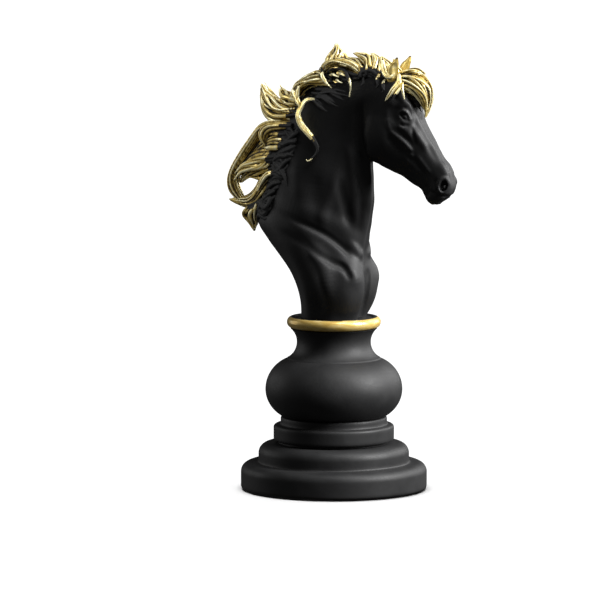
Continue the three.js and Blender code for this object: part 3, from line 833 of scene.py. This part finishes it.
def mid_locks(hair):
    # the lock between the crest and the flame, and black strands that lie forward on the neck
    hair.sheaf(
        8,
        (0.5, 222.5, 5.5, 215, 7), (-7.5, 224.2, -2.5, 216, 8.2), (-14, 222.8, -11, 216, 8.4),
        (-20, 219.2, -16, 213.6, 8), (-24, 214.5, -19, 210, 7), (-26.4, 210, -21.6, 207.5, 6),
        (-27.6, 206, -24.6, 205, 3),
        gilt=(0.1, 9), loose=1,
    )
    for start, end in (
        ((-10, 213), (14, 207)),
        ((-8, 215), (18, 211)),
        ((-12, 209.5), (6, 204)),
        ((-4, 213), (22, 214.5)),
        ((-6, 211), (8, 207.5)),
    ):
        path = hair.neck.on(wavy(start, end, 1.2), (1, 0.2, -0.4, -0.8))
        hair.wisp(path, 0.6, gilt=BLACK, spread=1.6, root=1)


def wavy(start, end, height):
    """Five points in X and Z from start to end, bent above and then below the straight line."""
    start, end = np.array(start, float), np.array(end, float)
    t = np.linspace(0, 1, 5)[:, None]
    across = np.array([start[1] - end[1], end[0] - start[0]])
    across = across / np.linalg.norm(across)
    return start * (1 - t) + end * t + across * height * np.sin(2 * math.pi * t)


def flame(hair):
    # the pointed lock that stands off the neck, and a smaller one above it
    hair.sheaf(
        9,
        (-17, 207, -17, 197, 7.5), (-26, 206.5, -27, 196.5, 7), (-33, 208.5, -34.5, 196.5, 5.8),
        (-38, 212, -40, 198.5, 4.6), (-41, 215.6, -43.6, 204.5, 3.2), (-43.4, 219, -45, 212.5, 1),
        gilt=(0.12, 9), loose=0.8, ragged=0.14,
    )
    hair.sheaf(
        4,
        (-17.5, 210, -17.5, 204.5, 6.5), (-24, 210.6, -25, 205, 5.6), (-28, 212.6, -29, 206.5, 4.4),
        (-31, 214.8, -32.2, 210, 2.6), (-32.8, 216.4, -33.8, 215, 0.8),
        gilt=(0.1, 9),
    )


def wing(hair):
    # the long outer lock that sweeps round the opening
    hair.sheaf(
        8,
        (-18, 198, -18, 194, 7.5), (-28, 197.8, -27, 193.5, 7.5), (-37, 197, -35, 193, 6.8),
        (-44, 194.5, -41, 190, 6), (-50, 187.8, -45, 184.5, 5.4), (-56.5, 179.4, -50.5, 177.5, 4.6),
        (-62.2, 170.5, -56, 170.5, 4), (-64.4, 163.5, -58.6, 164.5, 3.4), (-63, 157.5, -57, 159, 3),
        (-58.4, 152.6, -53.6, 154, 2.4),
        gilt=(0.08, 9), ragged=0.02, loose=0.3,
    )
    # the body behind it
    hair.sheaf(
        11,
        (-16, 194, -18, 179, 7), (-31, 193.5, -30.5, 179, 6.2), (-38, 191.5, -37, 177.5, 5),
        (-44, 186.5, -43, 174.5, 4), (-50, 179.5, -48, 170.8, 3.4), (-57, 170, -54.5, 164.5, 2),
        gilt=(0.28, 9), loose=1.1,
    )
    hair.sheaf(
        9,
        (-20, 183, -22, 170.5, 7.5), (-34, 182.5, -34.5, 167.4, 6.6), (-43.5, 181.5, -40, 165.8, 5.4),
        (-50.5, 177, -45, 165.2, 4.4), (-56, 170.5, -50.5, 165.4, 3.4), (-58, 164, -56.5, 162.4, 2),
        gilt=(0.3, 9), ragged=0.02, loose=0.6,
    )
    # the lock that curls back on each face
    hair.sheaf(
        4,
        (-21, 196.8, -21, 192.4, 2.6), (-31, 196.4, -30, 192, 2.6), (-38, 194.4, -34.6, 190.8, 2.4),
        (-41.8, 190, -36.4, 188, 2.2), (-41.2, 185.4, -35.5, 185, 1.9), (-37, 181.5, -33.2, 182, 0.8),
        side=(-6.4, -6.6, -6, -5.4, -5.2, -5), twin=True, gilt=(0.12, 9), loose=0.3,
    )
    hair.sheaf(
        6,
        (-20, 191, -20, 182, 1.6), (-27, 191.6, -27, 181.4, 2.2), (-33, 191, -33, 180.8, 2),
        (-38, 188.6, -37.4, 180.6, 1.6), (-41.4, 185, -41, 182.4, 0.9),
        side=(-5.4, -6.6, -6, -5, -4), twin=True, gilt=(0.32, 9), loose=0.3,
    )
    for start, end in (
        ((-34, 181), (-58.5, 167.5)),
        ((-36, 177.5), (-59, 164)),
        ((-33, 176.5), (-57.5, 168.5)),
    ):
        path = [(x, -6.6 + 3.2 * t, z) for (x, z), t in zip(wavy(start, end, 1.6), np.linspace(0, 1, 5))]
        hair.wisp(path, 1, gilt=(0.1, 9))
    roots(hair)


ROOT_LOCKS = 7


def roots(hair):
    """Black locks that lie on the neck and run out to the mane."""
    for share in np.linspace(0, 1, ROOT_LOCKS):
        start = (-17 - 14.5 * share**1.3 + hair.chance.uniform(-2, 2), 190 - 38 * share)
        end = (-28.5 - 15 * share, 188 - 42 * share)
        spine = wavy(start, end, hair.chance.uniform(0.4, 1.4))
        path = hair.neck.on(spine, (-1.3, -0.5, 0, 0.2, 0.4))
        breadth = np.array([0.4, hair.chance.uniform(3.4, 5)])
        depth = np.array([[0.6], [1.3], [1.6], [1.6], [1.4]])
        rows = np.hstack([spine + breadth, spine - breadth, depth])
        side = [y for _, y, _ in path]
        hair.sheaf(5, *rows, side=side, gilt=BLACK, twin=True, loose=0.8, ragged=0.1)
    path = hair.neck.on(
        [(-26, 182.5), (-28.6, 178), (-27.4, 173.4), (-24.4, 170), (-22.4, 166.5), (-21, 163)],
        (0.2, 0.9, 0.9, 0.7, 0.4, 0),
    )
    hair.wisp(path, 0.9, gilt=BLACK)


def hook(hair):
    # the lock under the opening, whose tip runs out backwards
    hair.sheaf(
        9,
        (-26, 175, -28, 164, 8), (-37, 172.4, -35.5, 160, 6.4), (-43.2, 166.6, -41, 155, 5),
        (-47.2, 160.4, -46, 151, 4), (-51.4, 156.6, -51.5, 149.2, 3.4), (-56.5, 155, -58, 150.6, 2.8),
        (-63.8, 153.8, -63.2, 152.8, 0.8),
        gilt=(0.18, 9), ragged=0.08,
    )
    hair.wisp(
        [(-32, -7.4, 169.5), (-36.5, -7.6, 168.4), (-40.6, -6.8, 164), (-43.6, -5.6, 158.6)],
        0.9, gilt=(0.1, 9), count=2,
    )


def tail(hair):
    # the last lock, which points down
    hair.sheaf(
        6,
        (-34, 156, -34, 149.5, 7), (-46.5, 152.8, -41, 148, 5.6), (-52.6, 149.5, -44.4, 145.6, 4.4),
        (-55, 146.4, -45.6, 143.4, 3.4), (-52.4, 142, -46.6, 140.4, 2.2), (-48.6, 136.8, -48.2, 136.6, 0.6),
        gilt=(0.34, 9),
    )
    hair.wisp(
        [(-37, -6.6, 156), (-43, -5.6, 152.6), (-45.4, -4.6, 147.5), (-46.4, -3.2, 142.6)],
        0.9, gilt=(0.4, 9), count=2,
    )


SIDE_CURL = (
    (-5.8, 8.4, 209.6), (-11.4, 9.4, 209.4), (-14.4, 10.8, 205.1), (-15.2, 12, 201.3), (-13.1, 12.9, 196.6),
    (-8.9, 13.6, 192.6), (-4.5, 14.1, 188.5), (-2.1, 14.6, 184.4), (-3.3, 15, 180.6), (-7.4, 15.4, 177.4),
)


def side_curl(hair, side):
    """The thin curl on one side of the neck: a flared root, a black stretch towards its end, a gold tip."""
    mirror = np.array([1, side, 1])
    hair.wisp(SIDE_CURL * mirror, 0.85, gilt=(-1, 0.66), twin=False, count=5, spread=1.15, root=0.5)
    for start in ((-21, 8.2, 214.5), (-22, 8.6, 209.5), (-17, 8.2, 216.5)):
        flare = np.array([start, (-17.2, 9.6, 209.5), (-14.8, 10.8, 206), (-15, 12, 202)])
        hair.wisp(flare * mirror, 0.8, twin=False, count=2)
    tip = np.array([(-5, 15.2, 178.6), (-7.4, 15.4, 177.2), (-8.8, 15.4, 178.2)])
    hair.wisp(tip * mirror, 0.5, twin=False, count=1)


# --- the ears
EAR_CELL = 0.22
# Sections of an ear: X, Y and Z of the middle, and the half-widths along X and Y.
EAR = [
    (35.8, 4.8, 216, 1.4, 1.4), (37.4, 6.2, 220.5, 2.5, 2.2), (38.2, 6.6, 223.5, 3.1, 2.4),
    (38.6, 6.9, 226.5, 3.2, 2.3), (39.6, 7.2, 229.5, 2.6, 1.9), (40.8, 7.5, 231.6, 1.4, 1.1),
    (41.6, 7.7, 233.4, 0.5, 0.45),
]


def ears():
    """Points and quads of both ears."""
    clay = Clay((32, 0, 212), (46, 12, 237), EAR_CELL)
    rows = smooth_rows(EAR, 40)[:, None]
    angle = np.linspace(0, 2 * math.pi, CORE_SIDES, endpoint=False)
    x, y = rows[..., 3] * np.cos(angle), rows[..., 4] * np.sin(angle)
    clay.field = clay.skin_field(loft(rows[..., :3] + np.stack([x, y, np.zeros_like(x)], -1)))
    clay.strokes(
        ([(40.8, 8.6, 222.5), (41.2, 8.9, 226), (41.2, 8.8, 229.5)], 1.3, -2.2, (0.2, 0.3)),
        ([(36.4, 8.4, 223), (36.6, 8.6, 227), (37.6, 8.4, 229.5)], 0.7, -0.5),
    )
    return clay.mesh()


# --- the turned pedestal
TURNED_SIDES = 192
PROFILE_STEP = 0.5  # mm between the points of a turned outline
WOBBLE = 0.05  # mm, how uneven the turned surfaces are
SHARP = math.radians(50)
GAP = 0.3  # mm round whatever fits inside a turned piece
REGISTER = 3.0  # how far each piece of the pedestal sinks into the one below
PLINTH_SEAT_R, COLLAR_SEAT_R = 20.0, 16.0  # the recesses for the pieces above
BORE_R = 12.0  # the hole in the bulb's top face
RIM_PAINT_R = 23.2  # inside this radius the rim is painted black


def rod_hole():
    return high_mm("tie_rod").x + GAP


def arc(x, z, rx, rz, start, end):
    """Points in R and Z on an arc of an ellipse between two angles in degrees."""
    count = max(int(abs(math.radians(end - start)) * max(rx, rz) / PROFILE_STEP), 2) + 1
    angles = np.radians(np.linspace(start, end, count))
    return [(x + rx * math.cos(a), z + rz * math.sin(a)) for a in angles]


def line_to(points, r, z):
    """Adds a straight stretch, with points along it."""
    r0, z0 = points[-1]
    count = max(int(math.hypot(r - r0, z - z0) / (2 * PROFILE_STEP)), 1)
    points += [(r0 + (r - r0) * i / count, z0 + (z - z0) * i / count) for i in range(1, count + 1)]


def round_to(points, x, z, r, start, end):
    """Adds a straight stretch up to a round one, and the round one."""
    bend = arc(x, z, r, r, start, end)
    line_to(points, *bend[0])
    points += bend[1:]


def turned(outline, wobble):
    """A solid of revolution from an outline in R and Z, slightly uneven like a hand-finished casting."""
    outline = np.array(outline)
    angle = np.linspace(0, 2 * math.pi, TURNED_SIDES, endpoint=False)[None]
    r, z = outline[:, :1], outline[:, 1:]
    waves = np.sin(3 * angle + 0.11 * z)
    waves = waves + 0.6 * np.sin(5 * angle - 0.23 * z + 1.3) + 0.3 * np.sin(8 * angle + 0.31 * z + 0.4)
    uneven = r + wobble * np.clip(r / 20, 0, 1) * (waves / 1.9 - 1)
    level = np.broadcast_to(z, uneven.shape)
    points = np.stack([uneven * np.cos(angle), uneven * np.sin(angle), level], -1)
    j = np.arange(TURNED_SIDES)
    k = (j + 1) % TURNED_SIDES
    here = (np.arange(len(outline)) * TURNED_SIDES)[:, None]
    there = np.roll(here, -1)
    quads = np.stack([here + j, here + k, there + k, there + j], -1).reshape(-1, 4)
    return points.reshape(-1, 3), quads


def turned_object(name, outline, wobble=WOBBLE):
    piece = mesh_object(name, *turned(outline, wobble))
    piece.data.set_sharp_from_angle(angle=SHARP)
    return piece


def plinth_outline():
    foot, top, radius = low_mm("plinth").z, high_mm("plinth").z, high_mm("plinth").x
    pad, cover, ballast = high_mm("felt_pad"), high_mm("base_cover"), high_mm("ballast_disc")
    seat = top - REGISTER
    first_top = 0.58 * top
    second_r = 0.81 * radius
    points = [(rod_hole(), seat), (PLINTH_SEAT_R, seat), (PLINTH_SEAT_R, top)]
    round_to(points, second_r - 5.5, top - 5.5, 5.5, 90, 0)
    round_to(points, second_r + 1, first_top + 1, 1, 180, 270)
    round_to(points, radius - 5, first_top - 5, 5, 90, 0)
    round_to(points, radius - 1.2, foot + 1.2, 1.2, 0, -90)
    points += [(pad.x + GAP, foot), (pad.x + GAP, pad.z)]
    points += [(cover.x + GAP, pad.z), (cover.x + GAP, cover.z + GAP)]
    points += [(ballast.x + GAP, cover.z + GAP), (ballast.x + GAP, ballast.z + GAP)]
    return points + [(rod_hole(), ballast.z + GAP)]


def collar_outline():
    low, high, foot_r = low_mm("collar").z, high_mm("collar"), PLINTH_SEAT_R - GAP
    bead_r, ring_r, neck_r = high.x, 0.883 * high.x, 0.926 * high.x
    bottom, bead_top, seat = low + REGISTER, high.z - 4.3, high.z - REGISTER
    points = [(rod_hole(), low), (foot_r, low), (foot_r, bottom)]
    line_to(points, neck_r, bottom)
    points += [(neck_r, bottom + 1)]
    points += arc(bead_r - 1.5, bottom + 2.5, 1.5, 1.5, -90, 0)
    round_to(points, bead_r - 1.5, bead_top - 1.5, 1.5, 0, 90)
    round_to(points, ring_r + 0.8, bead_top + 0.8, 0.8, 270, 180)
    round_to(points, ring_r - 1, high.z - 1, 1, 0, 90)
    return points + [(COLLAR_SEAT_R, high.z), (COLLAR_SEAT_R, seat), (rod_hole(), seat)]


def bulb_outline():
    low, high, foot_r = low_mm("bulb_body").z, high_mm("bulb_body"), COLLAR_SEAT_R - GAP
    bottom, top, radius = low + REGISTER, high.z, high.x
    centre, widest = 0.516 * radius, bottom + 14.4
    shoulder = widest + 16.4
    below, above = 16.6, 17.6
    start = math.degrees(math.asin((bottom - widest) / below))
    end = math.degrees(math.asin((shoulder - widest) / above))
    points = [(rod_hole(), low), (foot_r, low), (foot_r, bottom)]
    points += arc(centre, widest, radius - centre, below, start, 0)
    points += arc(centre, widest, radius - centre, above, 0, end)[1:]
    points += arc(25.6, shoulder + 0.6, 0.6, 0.6, 250, 190)
    waist_r, waist = 9.7, shoulder + 9
    points += arc(29.6, waist, waist_r, waist_r, 237, 131)
    points += [(22.3, low_mm("gilt_rim").z - 0.1), (22.3, top), (20.9, top - 0.6)]
    line_to(points, BORE_R + GAP, top - 0.6)
    return points + [(BORE_R + GAP, top - 6), (rod_hole(), top - 6)]


def rim_outline():
    """The gilt bead round the top of the pedestal."""
    low, high = low_mm("gilt_rim").z, high_mm("gilt_rim")
    middle, half = (low + high.z) / 2, (high.z - low) / 2
    inner = 22.4
    points = [(inner, middle + 0.55 * half)]
    points += arc(high.x - 2.7, middle, 2.7, half, 125, -110)
    return points + [(inner, middle - 0.85 * half)]


def felt_outline():
    low, high = low_mm("felt_pad").z, high_mm("felt_pad")
    points = [(high_mm("tie_rod").x + 1, low)]
    round_to(points, high.x - 0.4, low + 0.4, 0.4, -90, 0)
    line_to(points, high.x, high.z)
    line_to(points, points[0][0], high.z)
    return points


# --- materials
class Surface:
    """A material and its nodes."""

    def __init__(self, name):
        self.material = bpy.data.materials.new(name)
        self.material.use_nodes = True
        self.tree = self.material.node_tree
        self.shader = self.tree.nodes["Principled BSDF"]
        self.place = self.node("ShaderNodeTexCoord").outputs["Object"]

    def node(self, kind, inputs=None, **settings):
        """A node with its settings, and with values or the outputs of other nodes at its inputs."""
        made = self.tree.nodes.new(kind)
        for name, value in settings.items():
            setattr(made, name, value)
        for name, value in (inputs or {}).items():
            self.feed(made.inputs[name], value)
        return made

    def feed(self, socket, value):
        if isinstance(value, bpy.types.NodeSocket):
            self.tree.links.new(value, socket)
        else:
            socket.default_value = value

    def set(self, **values):
        """Shader inputs by name, with _ for a space."""
        for name, value in values.items():
            self.feed(self.shader.inputs[name.replace("_", " ").title().replace("Ior", "IOR")], value)

    def stretched(self, *scale):
        return self.node("ShaderNodeMapping", {"Vector": self.place, "Scale": scale}).outputs["Vector"]

    def noise(self, size_mm, detail=3.0, roughness=0.55, place=None):
        grain = {"Scale": 1000 / size_mm, "Detail": detail, "Roughness": roughness}
        return self.node("ShaderNodeTexNoise", {"Vector": place or self.place, **grain}).outputs["Fac"]

    def attribute(self, name):
        return self.node("ShaderNodeAttribute", attribute_name=name).outputs["Fac"]

    def add(self, a, b):
        return self.node("ShaderNodeMath", {0: a, 1: b}, operation="ADD").outputs[0]

    def multiply(self, a, b):
        return self.node("ShaderNodeMath", {0: a, 1: b}, operation="MULTIPLY").outputs[0]

    def spread(self, value, low, high, start=0.0, end=1.0):
        """value from low..high mapped to start..end."""
        ends = {"From Min": low, "From Max": high, "To Min": start, "To Max": end}
        return self.node("ShaderNodeMapRange", {"Value": value, **ends}).outputs["Result"]

    def vary(self, noise, start=0.0, end=1.0):
        """A noise, which stays mostly within 0.3..0.7, mapped to start..end."""
        return self.spread(noise, 0.3, 0.7, start, end)

    def blend(self, share, a, b):
        a, b = (c if isinstance(c, bpy.types.NodeSocket) else (*c, 1) for c in (a, b))
        inputs = {"Factor": share, "A": a, "B": b}
        return self.node("ShaderNodeMix", inputs, data_type="RGBA").outputs["Result"]

    def colours(self, value, stops):
        made = self.node("ShaderNodeValToRGB", {"Fac": value})
        elements = made.color_ramp.elements
        while len(elements) < len(stops):
            elements.new(0.5)
        for element, (place, colour) in zip(elements, stops):
            element.position = place
            element.color = (*colour, 1)
        return made.outputs["Color"]

    def bumps(self, *layers):
        """Bump from (height, depth in mm) layers, the coarsest first."""
        under = {}
        for height, depth_mm in layers:
            bump = self.node("ShaderNodeBump", {"Height": height, "Distance": depth_mm / 1000, **under})
            under = {"Normal": bump.outputs["Normal"]}
        self.feed(self.shader.inputs["Normal"], under["Normal"])


BLACK_PAINT = (0.0125, 0.0125, 0.0130)
BLACK_WORN = (0.0200, 0.0200, 0.0205)
# The mane's black, darker than the body's black paint: painted shade in the hollows between the strands.
BLACK_HAIR_WITH_PAINTED_SHADE = (0.0050, 0.0050, 0.0052)
# The gold from the grooves to the top of a strand: near black and brown in the grooves, partly black paint
# and partly painted shade, up to pale cream on the tops as a painted highlight.
GOLD_SHADE_TO_HIGHLIGHT_BY_HEIGHT = (
    (0.08, (0.012, 0.008, 0.003)),
    (0.34, (0.120, 0.072, 0.012)),
    (0.50, (0.540, 0.375, 0.080)),
    (0.68, (0.880, 0.690, 0.240)),
    (0.90, (1.000, 0.930, 0.580)),
)


def black_resin():
    """Matt black paint on cast resin, with faint clouding and fine orange peel."""
    look = Surface("black_resin")
    clouds = look.noise(14, 4)
    grain = look.noise(0.9, 3)
    look.set(base_color=look.blend(look.spread(clouds, 0.35, 0.7), BLACK_PAINT, BLACK_WORN))
    look.set(roughness=look.spread(look.add(clouds, grain), 0.7, 1.3, 0.5, 0.62))
    look.set(specular_ior_level=0.42)
    look.bumps((clouds, 0.12), (look.noise(2.6, 2), 0.03), (grain, 0.012))
    return look.material


def gilt_paint():
    """Gold paint brushed over the raised strands, black in the grooves as paint and as painted shade, and a
    painted highlight of pale cream on the tops.
    """
    look = Surface("gilt_resin")
    ridge, gilt = look.attribute("ridge"), look.attribute("gilt")
    blots = look.noise(3.5, 4)
    grain = look.noise(0.7, 3)
    height = look.add(look.spread(ridge, -1, 1), look.vary(blots, -0.12, 0.12))
    height = look.add(height, look.spread(gilt, 0.55, 1, -0.2, 0.07))
    # low on this ramp is painted shade in the grooves, high is a painted highlight on the tops of the
    # strands
    gold = look.colours(height, GOLD_SHADE_TO_HIGHLIGHT_BY_HEIGHT)
    # where the gold shows: the black left in the grooves is partly real paint and partly painted shade
    cover = look.multiply(gilt, look.spread(height, 0.02, 0.2))
    worn_and_groove_shade = look.spread(look.add(cover, look.vary(blots, -0.2, 0.2)), 0.3, 0.7)
    look.set(base_color=look.blend(worn_and_groove_shade, BLACK_HAIR_WITH_PAINTED_SHADE, gold))
    look.set(metallic=look.spread(worn_and_groove_shade, 0, 1, 0, 0.35))
    look.set(roughness=look.add(look.spread(worn_and_groove_shade, 0, 1, 0.72, 0.3), look.vary(grain, -0.04, 0.06)))
    look.bumps((blots, 0.05), (grain, 0.02))
    return look.material


def rim_paint():
    """The rim's brushed gold, darker along the edges where the black paint begins."""
    look = Surface("gilt_rim")
    strokes = look.noise(6, 4, place=look.stretched(1, 1, 5))
    grain = look.noise(0.8, 3)
    edge = look.add(look.attribute("gilt"), look.vary(strokes, -0.35, 0.35))
    cover = look.spread(edge, 0.2, 0.6)
    stops = ((0.3, (0.72, 0.46, 0.10)), (0.5, (0.88, 0.62, 0.18)), (0.72, (1.0, 0.79, 0.34)))
    gold = look.colours(strokes, stops)
    look.set(base_color=look.blend(cover, BLACK_PAINT, gold), metallic=look.spread(cover, 0, 1, 0, 0.35))
    look.set(roughness=look.add(look.spread(cover, 0, 1, 0.55, 0.3), look.vary(grain, -0.03, 0.05)))
    look.bumps((strokes, 0.04), (grain, 0.015))
    return look.material


def felt():
    look = Surface("felt")
    fibres = look.noise(0.5, 5, 0.7, place=look.stretched(1, 3, 1))
    clumps = look.noise(4, 3)
    look.set(base_color=look.blend(look.vary(clumps), (0.012, 0.012, 0.013), (0.026, 0.026, 0.028)))
    look.set(roughness=look.vary(fibres, 0.85, 1.0))
    look.set(sheen_weight=0.3)
    look.bumps((clumps, 0.25), (fibres, 0.15))
    return look.material


def metal(name, dark, light, stretch, rough):
    """Bare metal with tool marks along it and dull patches."""
    look = Surface(name)
    marks = look.noise(0.6, 4, 0.6, place=look.stretched(*stretch))
    patches = look.noise(7, 4)
    look.set(base_color=look.blend(look.vary(patches), dark, light), metallic=1.0)
    look.set(roughness=look.add(look.vary(marks, -0.07, 0.07), look.vary(patches, *rough)))
    look.bumps((patches, 0.03), (marks, 0.01))
    return look.material


def cast_iron():
    look = Surface("cast_iron")
    skin = look.noise(1.2, 5, 0.65)
    rust = look.noise(9, 4)
    look.set(base_color=look.blend(look.spread(rust, 0.45, 0.75), (0.05, 0.05, 0.055), (0.12, 0.07, 0.045)))
    look.set(metallic=0.6, roughness=look.vary(skin, 0.55, 0.8))
    look.bumps((skin, 0.2), (look.noise(0.4, 2), 0.05))
    return look.material


def dress(node, material):
    """Gives a CAD node that stays a better material."""
    part = bpy.data.objects[node]
    if not part.material_slots:
        part.data.materials.append(material)
    for slot in part.material_slots:
        slot.material = material


# --- camera, floor and light
AZIMUTH, ELEVATION, DISTANCE = 28.0, 6.2, 2.8
LENS, SENSOR = 313.7, 36.0
AIM_RIGHT, AIM_UP = -18.15, 101.8  # mm from the foot's centre
FLOOR = 6.0  # metres from the middle to each side
SUN_STRENGTH, SUN_ANGLE = 4.2, math.radians(60)
WORLD_STRENGTH = 0.05
LAMPS_AIM = 120.0  # mm above the foot


def make_camera():
    """Places the camera, and gives the directions to its right and back to it from what it sees."""
    turn = math.radians(AZIMUTH)
    right = Vector((math.cos(turn), math.sin(turn), 0))
    back = Vector((math.sin(turn), -math.cos(turn), math.tan(math.radians(ELEVATION)))).normalized()
    target = FOOT + (right * AIM_RIGHT + Vector((0, 0, AIM_UP))) * MM
    data = bpy.data.cameras.new("camera")
    data.lens, data.sensor_width = LENS, SENSOR
    data.clip_end = 20.0
    bpy.context.scene.camera = aimed("camera", data, target + back * DISTANCE, target)
    return right, back


def aimed(name, data, place, aim):
    """A camera or a lamp at one point that looks at another."""
    made = added(name, data)
    made.location = place
    made.rotation_euler = (aim - place).to_track_quat("-Z", "Y").to_euler()
    return made


def make_floor():
    """A white floor that the object stands on, and doesn't mirror."""
    data = bpy.data.meshes.new("floor")
    corners = [(-FLOOR, -FLOOR, 0), (FLOOR, -FLOOR, 0), (FLOOR, FLOOR, 0), (-FLOOR, FLOOR, 0)]
    data.from_pydata(corners, [], [(0, 1, 2, 3)])
    floor = added("floor", data)
    floor.location = FOOT
    floor.visible_glossy = False
    floor.visible_diffuse = False
    white = Surface("floor")
    white.set(base_color=(0.9, 0.9, 0.9, 1), roughness=0.9)
    data.materials.append(white.material)
    return floor


def make_floor_light(floor, aim):
    """The light that keeps the floor white. It falls on nothing else."""
    data = bpy.data.lights.new("floor_light", "SUN")
    data.energy, data.angle = SUN_STRENGTH, SUN_ANGLE
    lamp = aimed("floor_light", data, aim + Vector((0, 0, 1)), aim)
    lamp.light_linking.receiver_collection = linked("lit_by_floor_light", floor, "INCLUDE")


def make_softbox(name, place, aim, size, power, lit):
    data = bpy.data.lights.new(name, "AREA")
    data.shape, data.size, data.energy = "DISK", size, power
    aimed(name, data, place, aim).light_linking.receiver_collection = lit


def linked(name, item, state):
    """A collection for light linking that holds one object."""
    group = bpy.data.collections.new(name)
    group.objects.link(item)
    group.collection_objects[0].light_linking.link_state = state
    return group


def make_world():
    world = bpy.data.worlds.new("world")
    world.use_nodes = True
    background = world.node_tree.nodes["Background"]
    background.inputs["Color"].default_value = (1, 1, 1, 1)
    background.inputs["Strength"].default_value = WORLD_STRENGTH
    bpy.context.scene.world = world
    bpy.context.scene.view_settings.view_transform = "Standard"


# Metres to the camera's right, towards it and up from the point that they light, the width and the watts.
SOFT_BOXES = {
    "key": (1.2, 0.38, 0.68, 0.7, 42),
    "top": (0.5, 0.5, 1.3, 0.7, 11),
    "rim_right": (1.0, -0.8, 0.5, 0.8, 7),
    "rim_left": (-1.1, -0.6, 0.3, 0.8, 2),
    "gold_fill": (-1.0, 0.5, 0.75, 0.6, 7),
}
right, back = make_camera()
make_world()
middle = FOOT + Vector((0, 0, LAMPS_AIM * MM))
floor = make_floor()
make_floor_light(floor, middle)
not_floor = linked("all_but_the_floor", floor, "EXCLUDE")
on_gold = bpy.data.collections.new("gilded_pieces")
for name, (across, near, rise, size, power) in SOFT_BOXES.items():
    place = middle + right * across + back * near + Vector((0, 0, rise))
    make_softbox(name, place, middle, size, power, on_gold if name == "gold_fill" else not_floor)


# --- the object
black = black_resin()
gold = gilt_paint()
bust = finished(mesh_object("bust_skin", *sculpt_bust()), black, "horse_bust")
for name, outline in (("plinth", plinth_outline), ("collar", collar_outline), ("bulb_body", bulb_outline)):
    finished(turned_object(name + "_turned", outline()), black, name)

rim = finished(turned_object("gilt_rim_bead", rim_outline(), 0.12), rim_paint(), "gilt_rim")
store(rim, "gilt", [float(v.co.xy.length > RIM_PAINT_R * MM) for v in rim.data.vertices])

LOCKS = {
    "forelock": forelock, "mane_poll": poll, "mane_crest": crest, "mane_mid": mid_locks,
    "mane_flame": flame, "mane_wing": wing, "mane_hook": hook, "mane_tail": tail,
}
FIRST_SEED, CURL_SEED = 11, 19  # the two curls share one
neck = Neck(bust)
for seed, (node, comb) in enumerate(LOCKS.items(), FIRST_SEED):
    lock = Casting(neck, seed)
    comb(lock)
    on_gold.objects.link(cast_lock(node, lock, gold))
for node, side in (("mane_curl_right", -1), ("mane_curl_left", 1)):
    lock = Casting(neck, CURL_SEED)
    side_curl(lock, side)
    on_gold.objects.link(cast_lock(node, lock, gold))

ear_points, ear_quads = ears()
for node, side in (("ear_right", -1), ("ear_left", 1)):
    points, quads = kept(ear_points, ear_quads, ear_points[:, 1] * side > 0)
    ear = finished(mesh_object(node + "_leaf", points, quads), gold, node)
    store(ear, "gilt", np.ones(len(points)))
    store(ear, "ridge", ridges(points, quads, EAR_LIFT))
    on_gold.objects.link(ear)

pad = finished(turned_object("felt_disc", felt_outline(), 0.1), felt(), "felt_pad")

steel = metal("zinc_steel", (0.40, 0.40, 0.42), (0.62, 0.62, 0.63), (1, 1, 0.15), (0.28, 0.42))
steel_parts = ["tie_rod", "tie_nut", "tie_washer", "locating_dowel_1", "locating_dowel_2"]
for node in steel_parts + [f"cover_screw_{number}" for number in (1, 2, 3)]:
    dress(node, steel)
dress("base_cover", metal("cover_plate", (0.55, 0.55, 0.56), (0.75, 0.75, 0.76), (1, 0.1, 1), (0.35, 0.5)))
dress("bust_insert", metal("brass", (0.45, 0.30, 0.11), (0.66, 0.47, 0.20), (1, 1, 0.2), (0.25, 0.4)))
dress("ballast_disc", cast_iron())
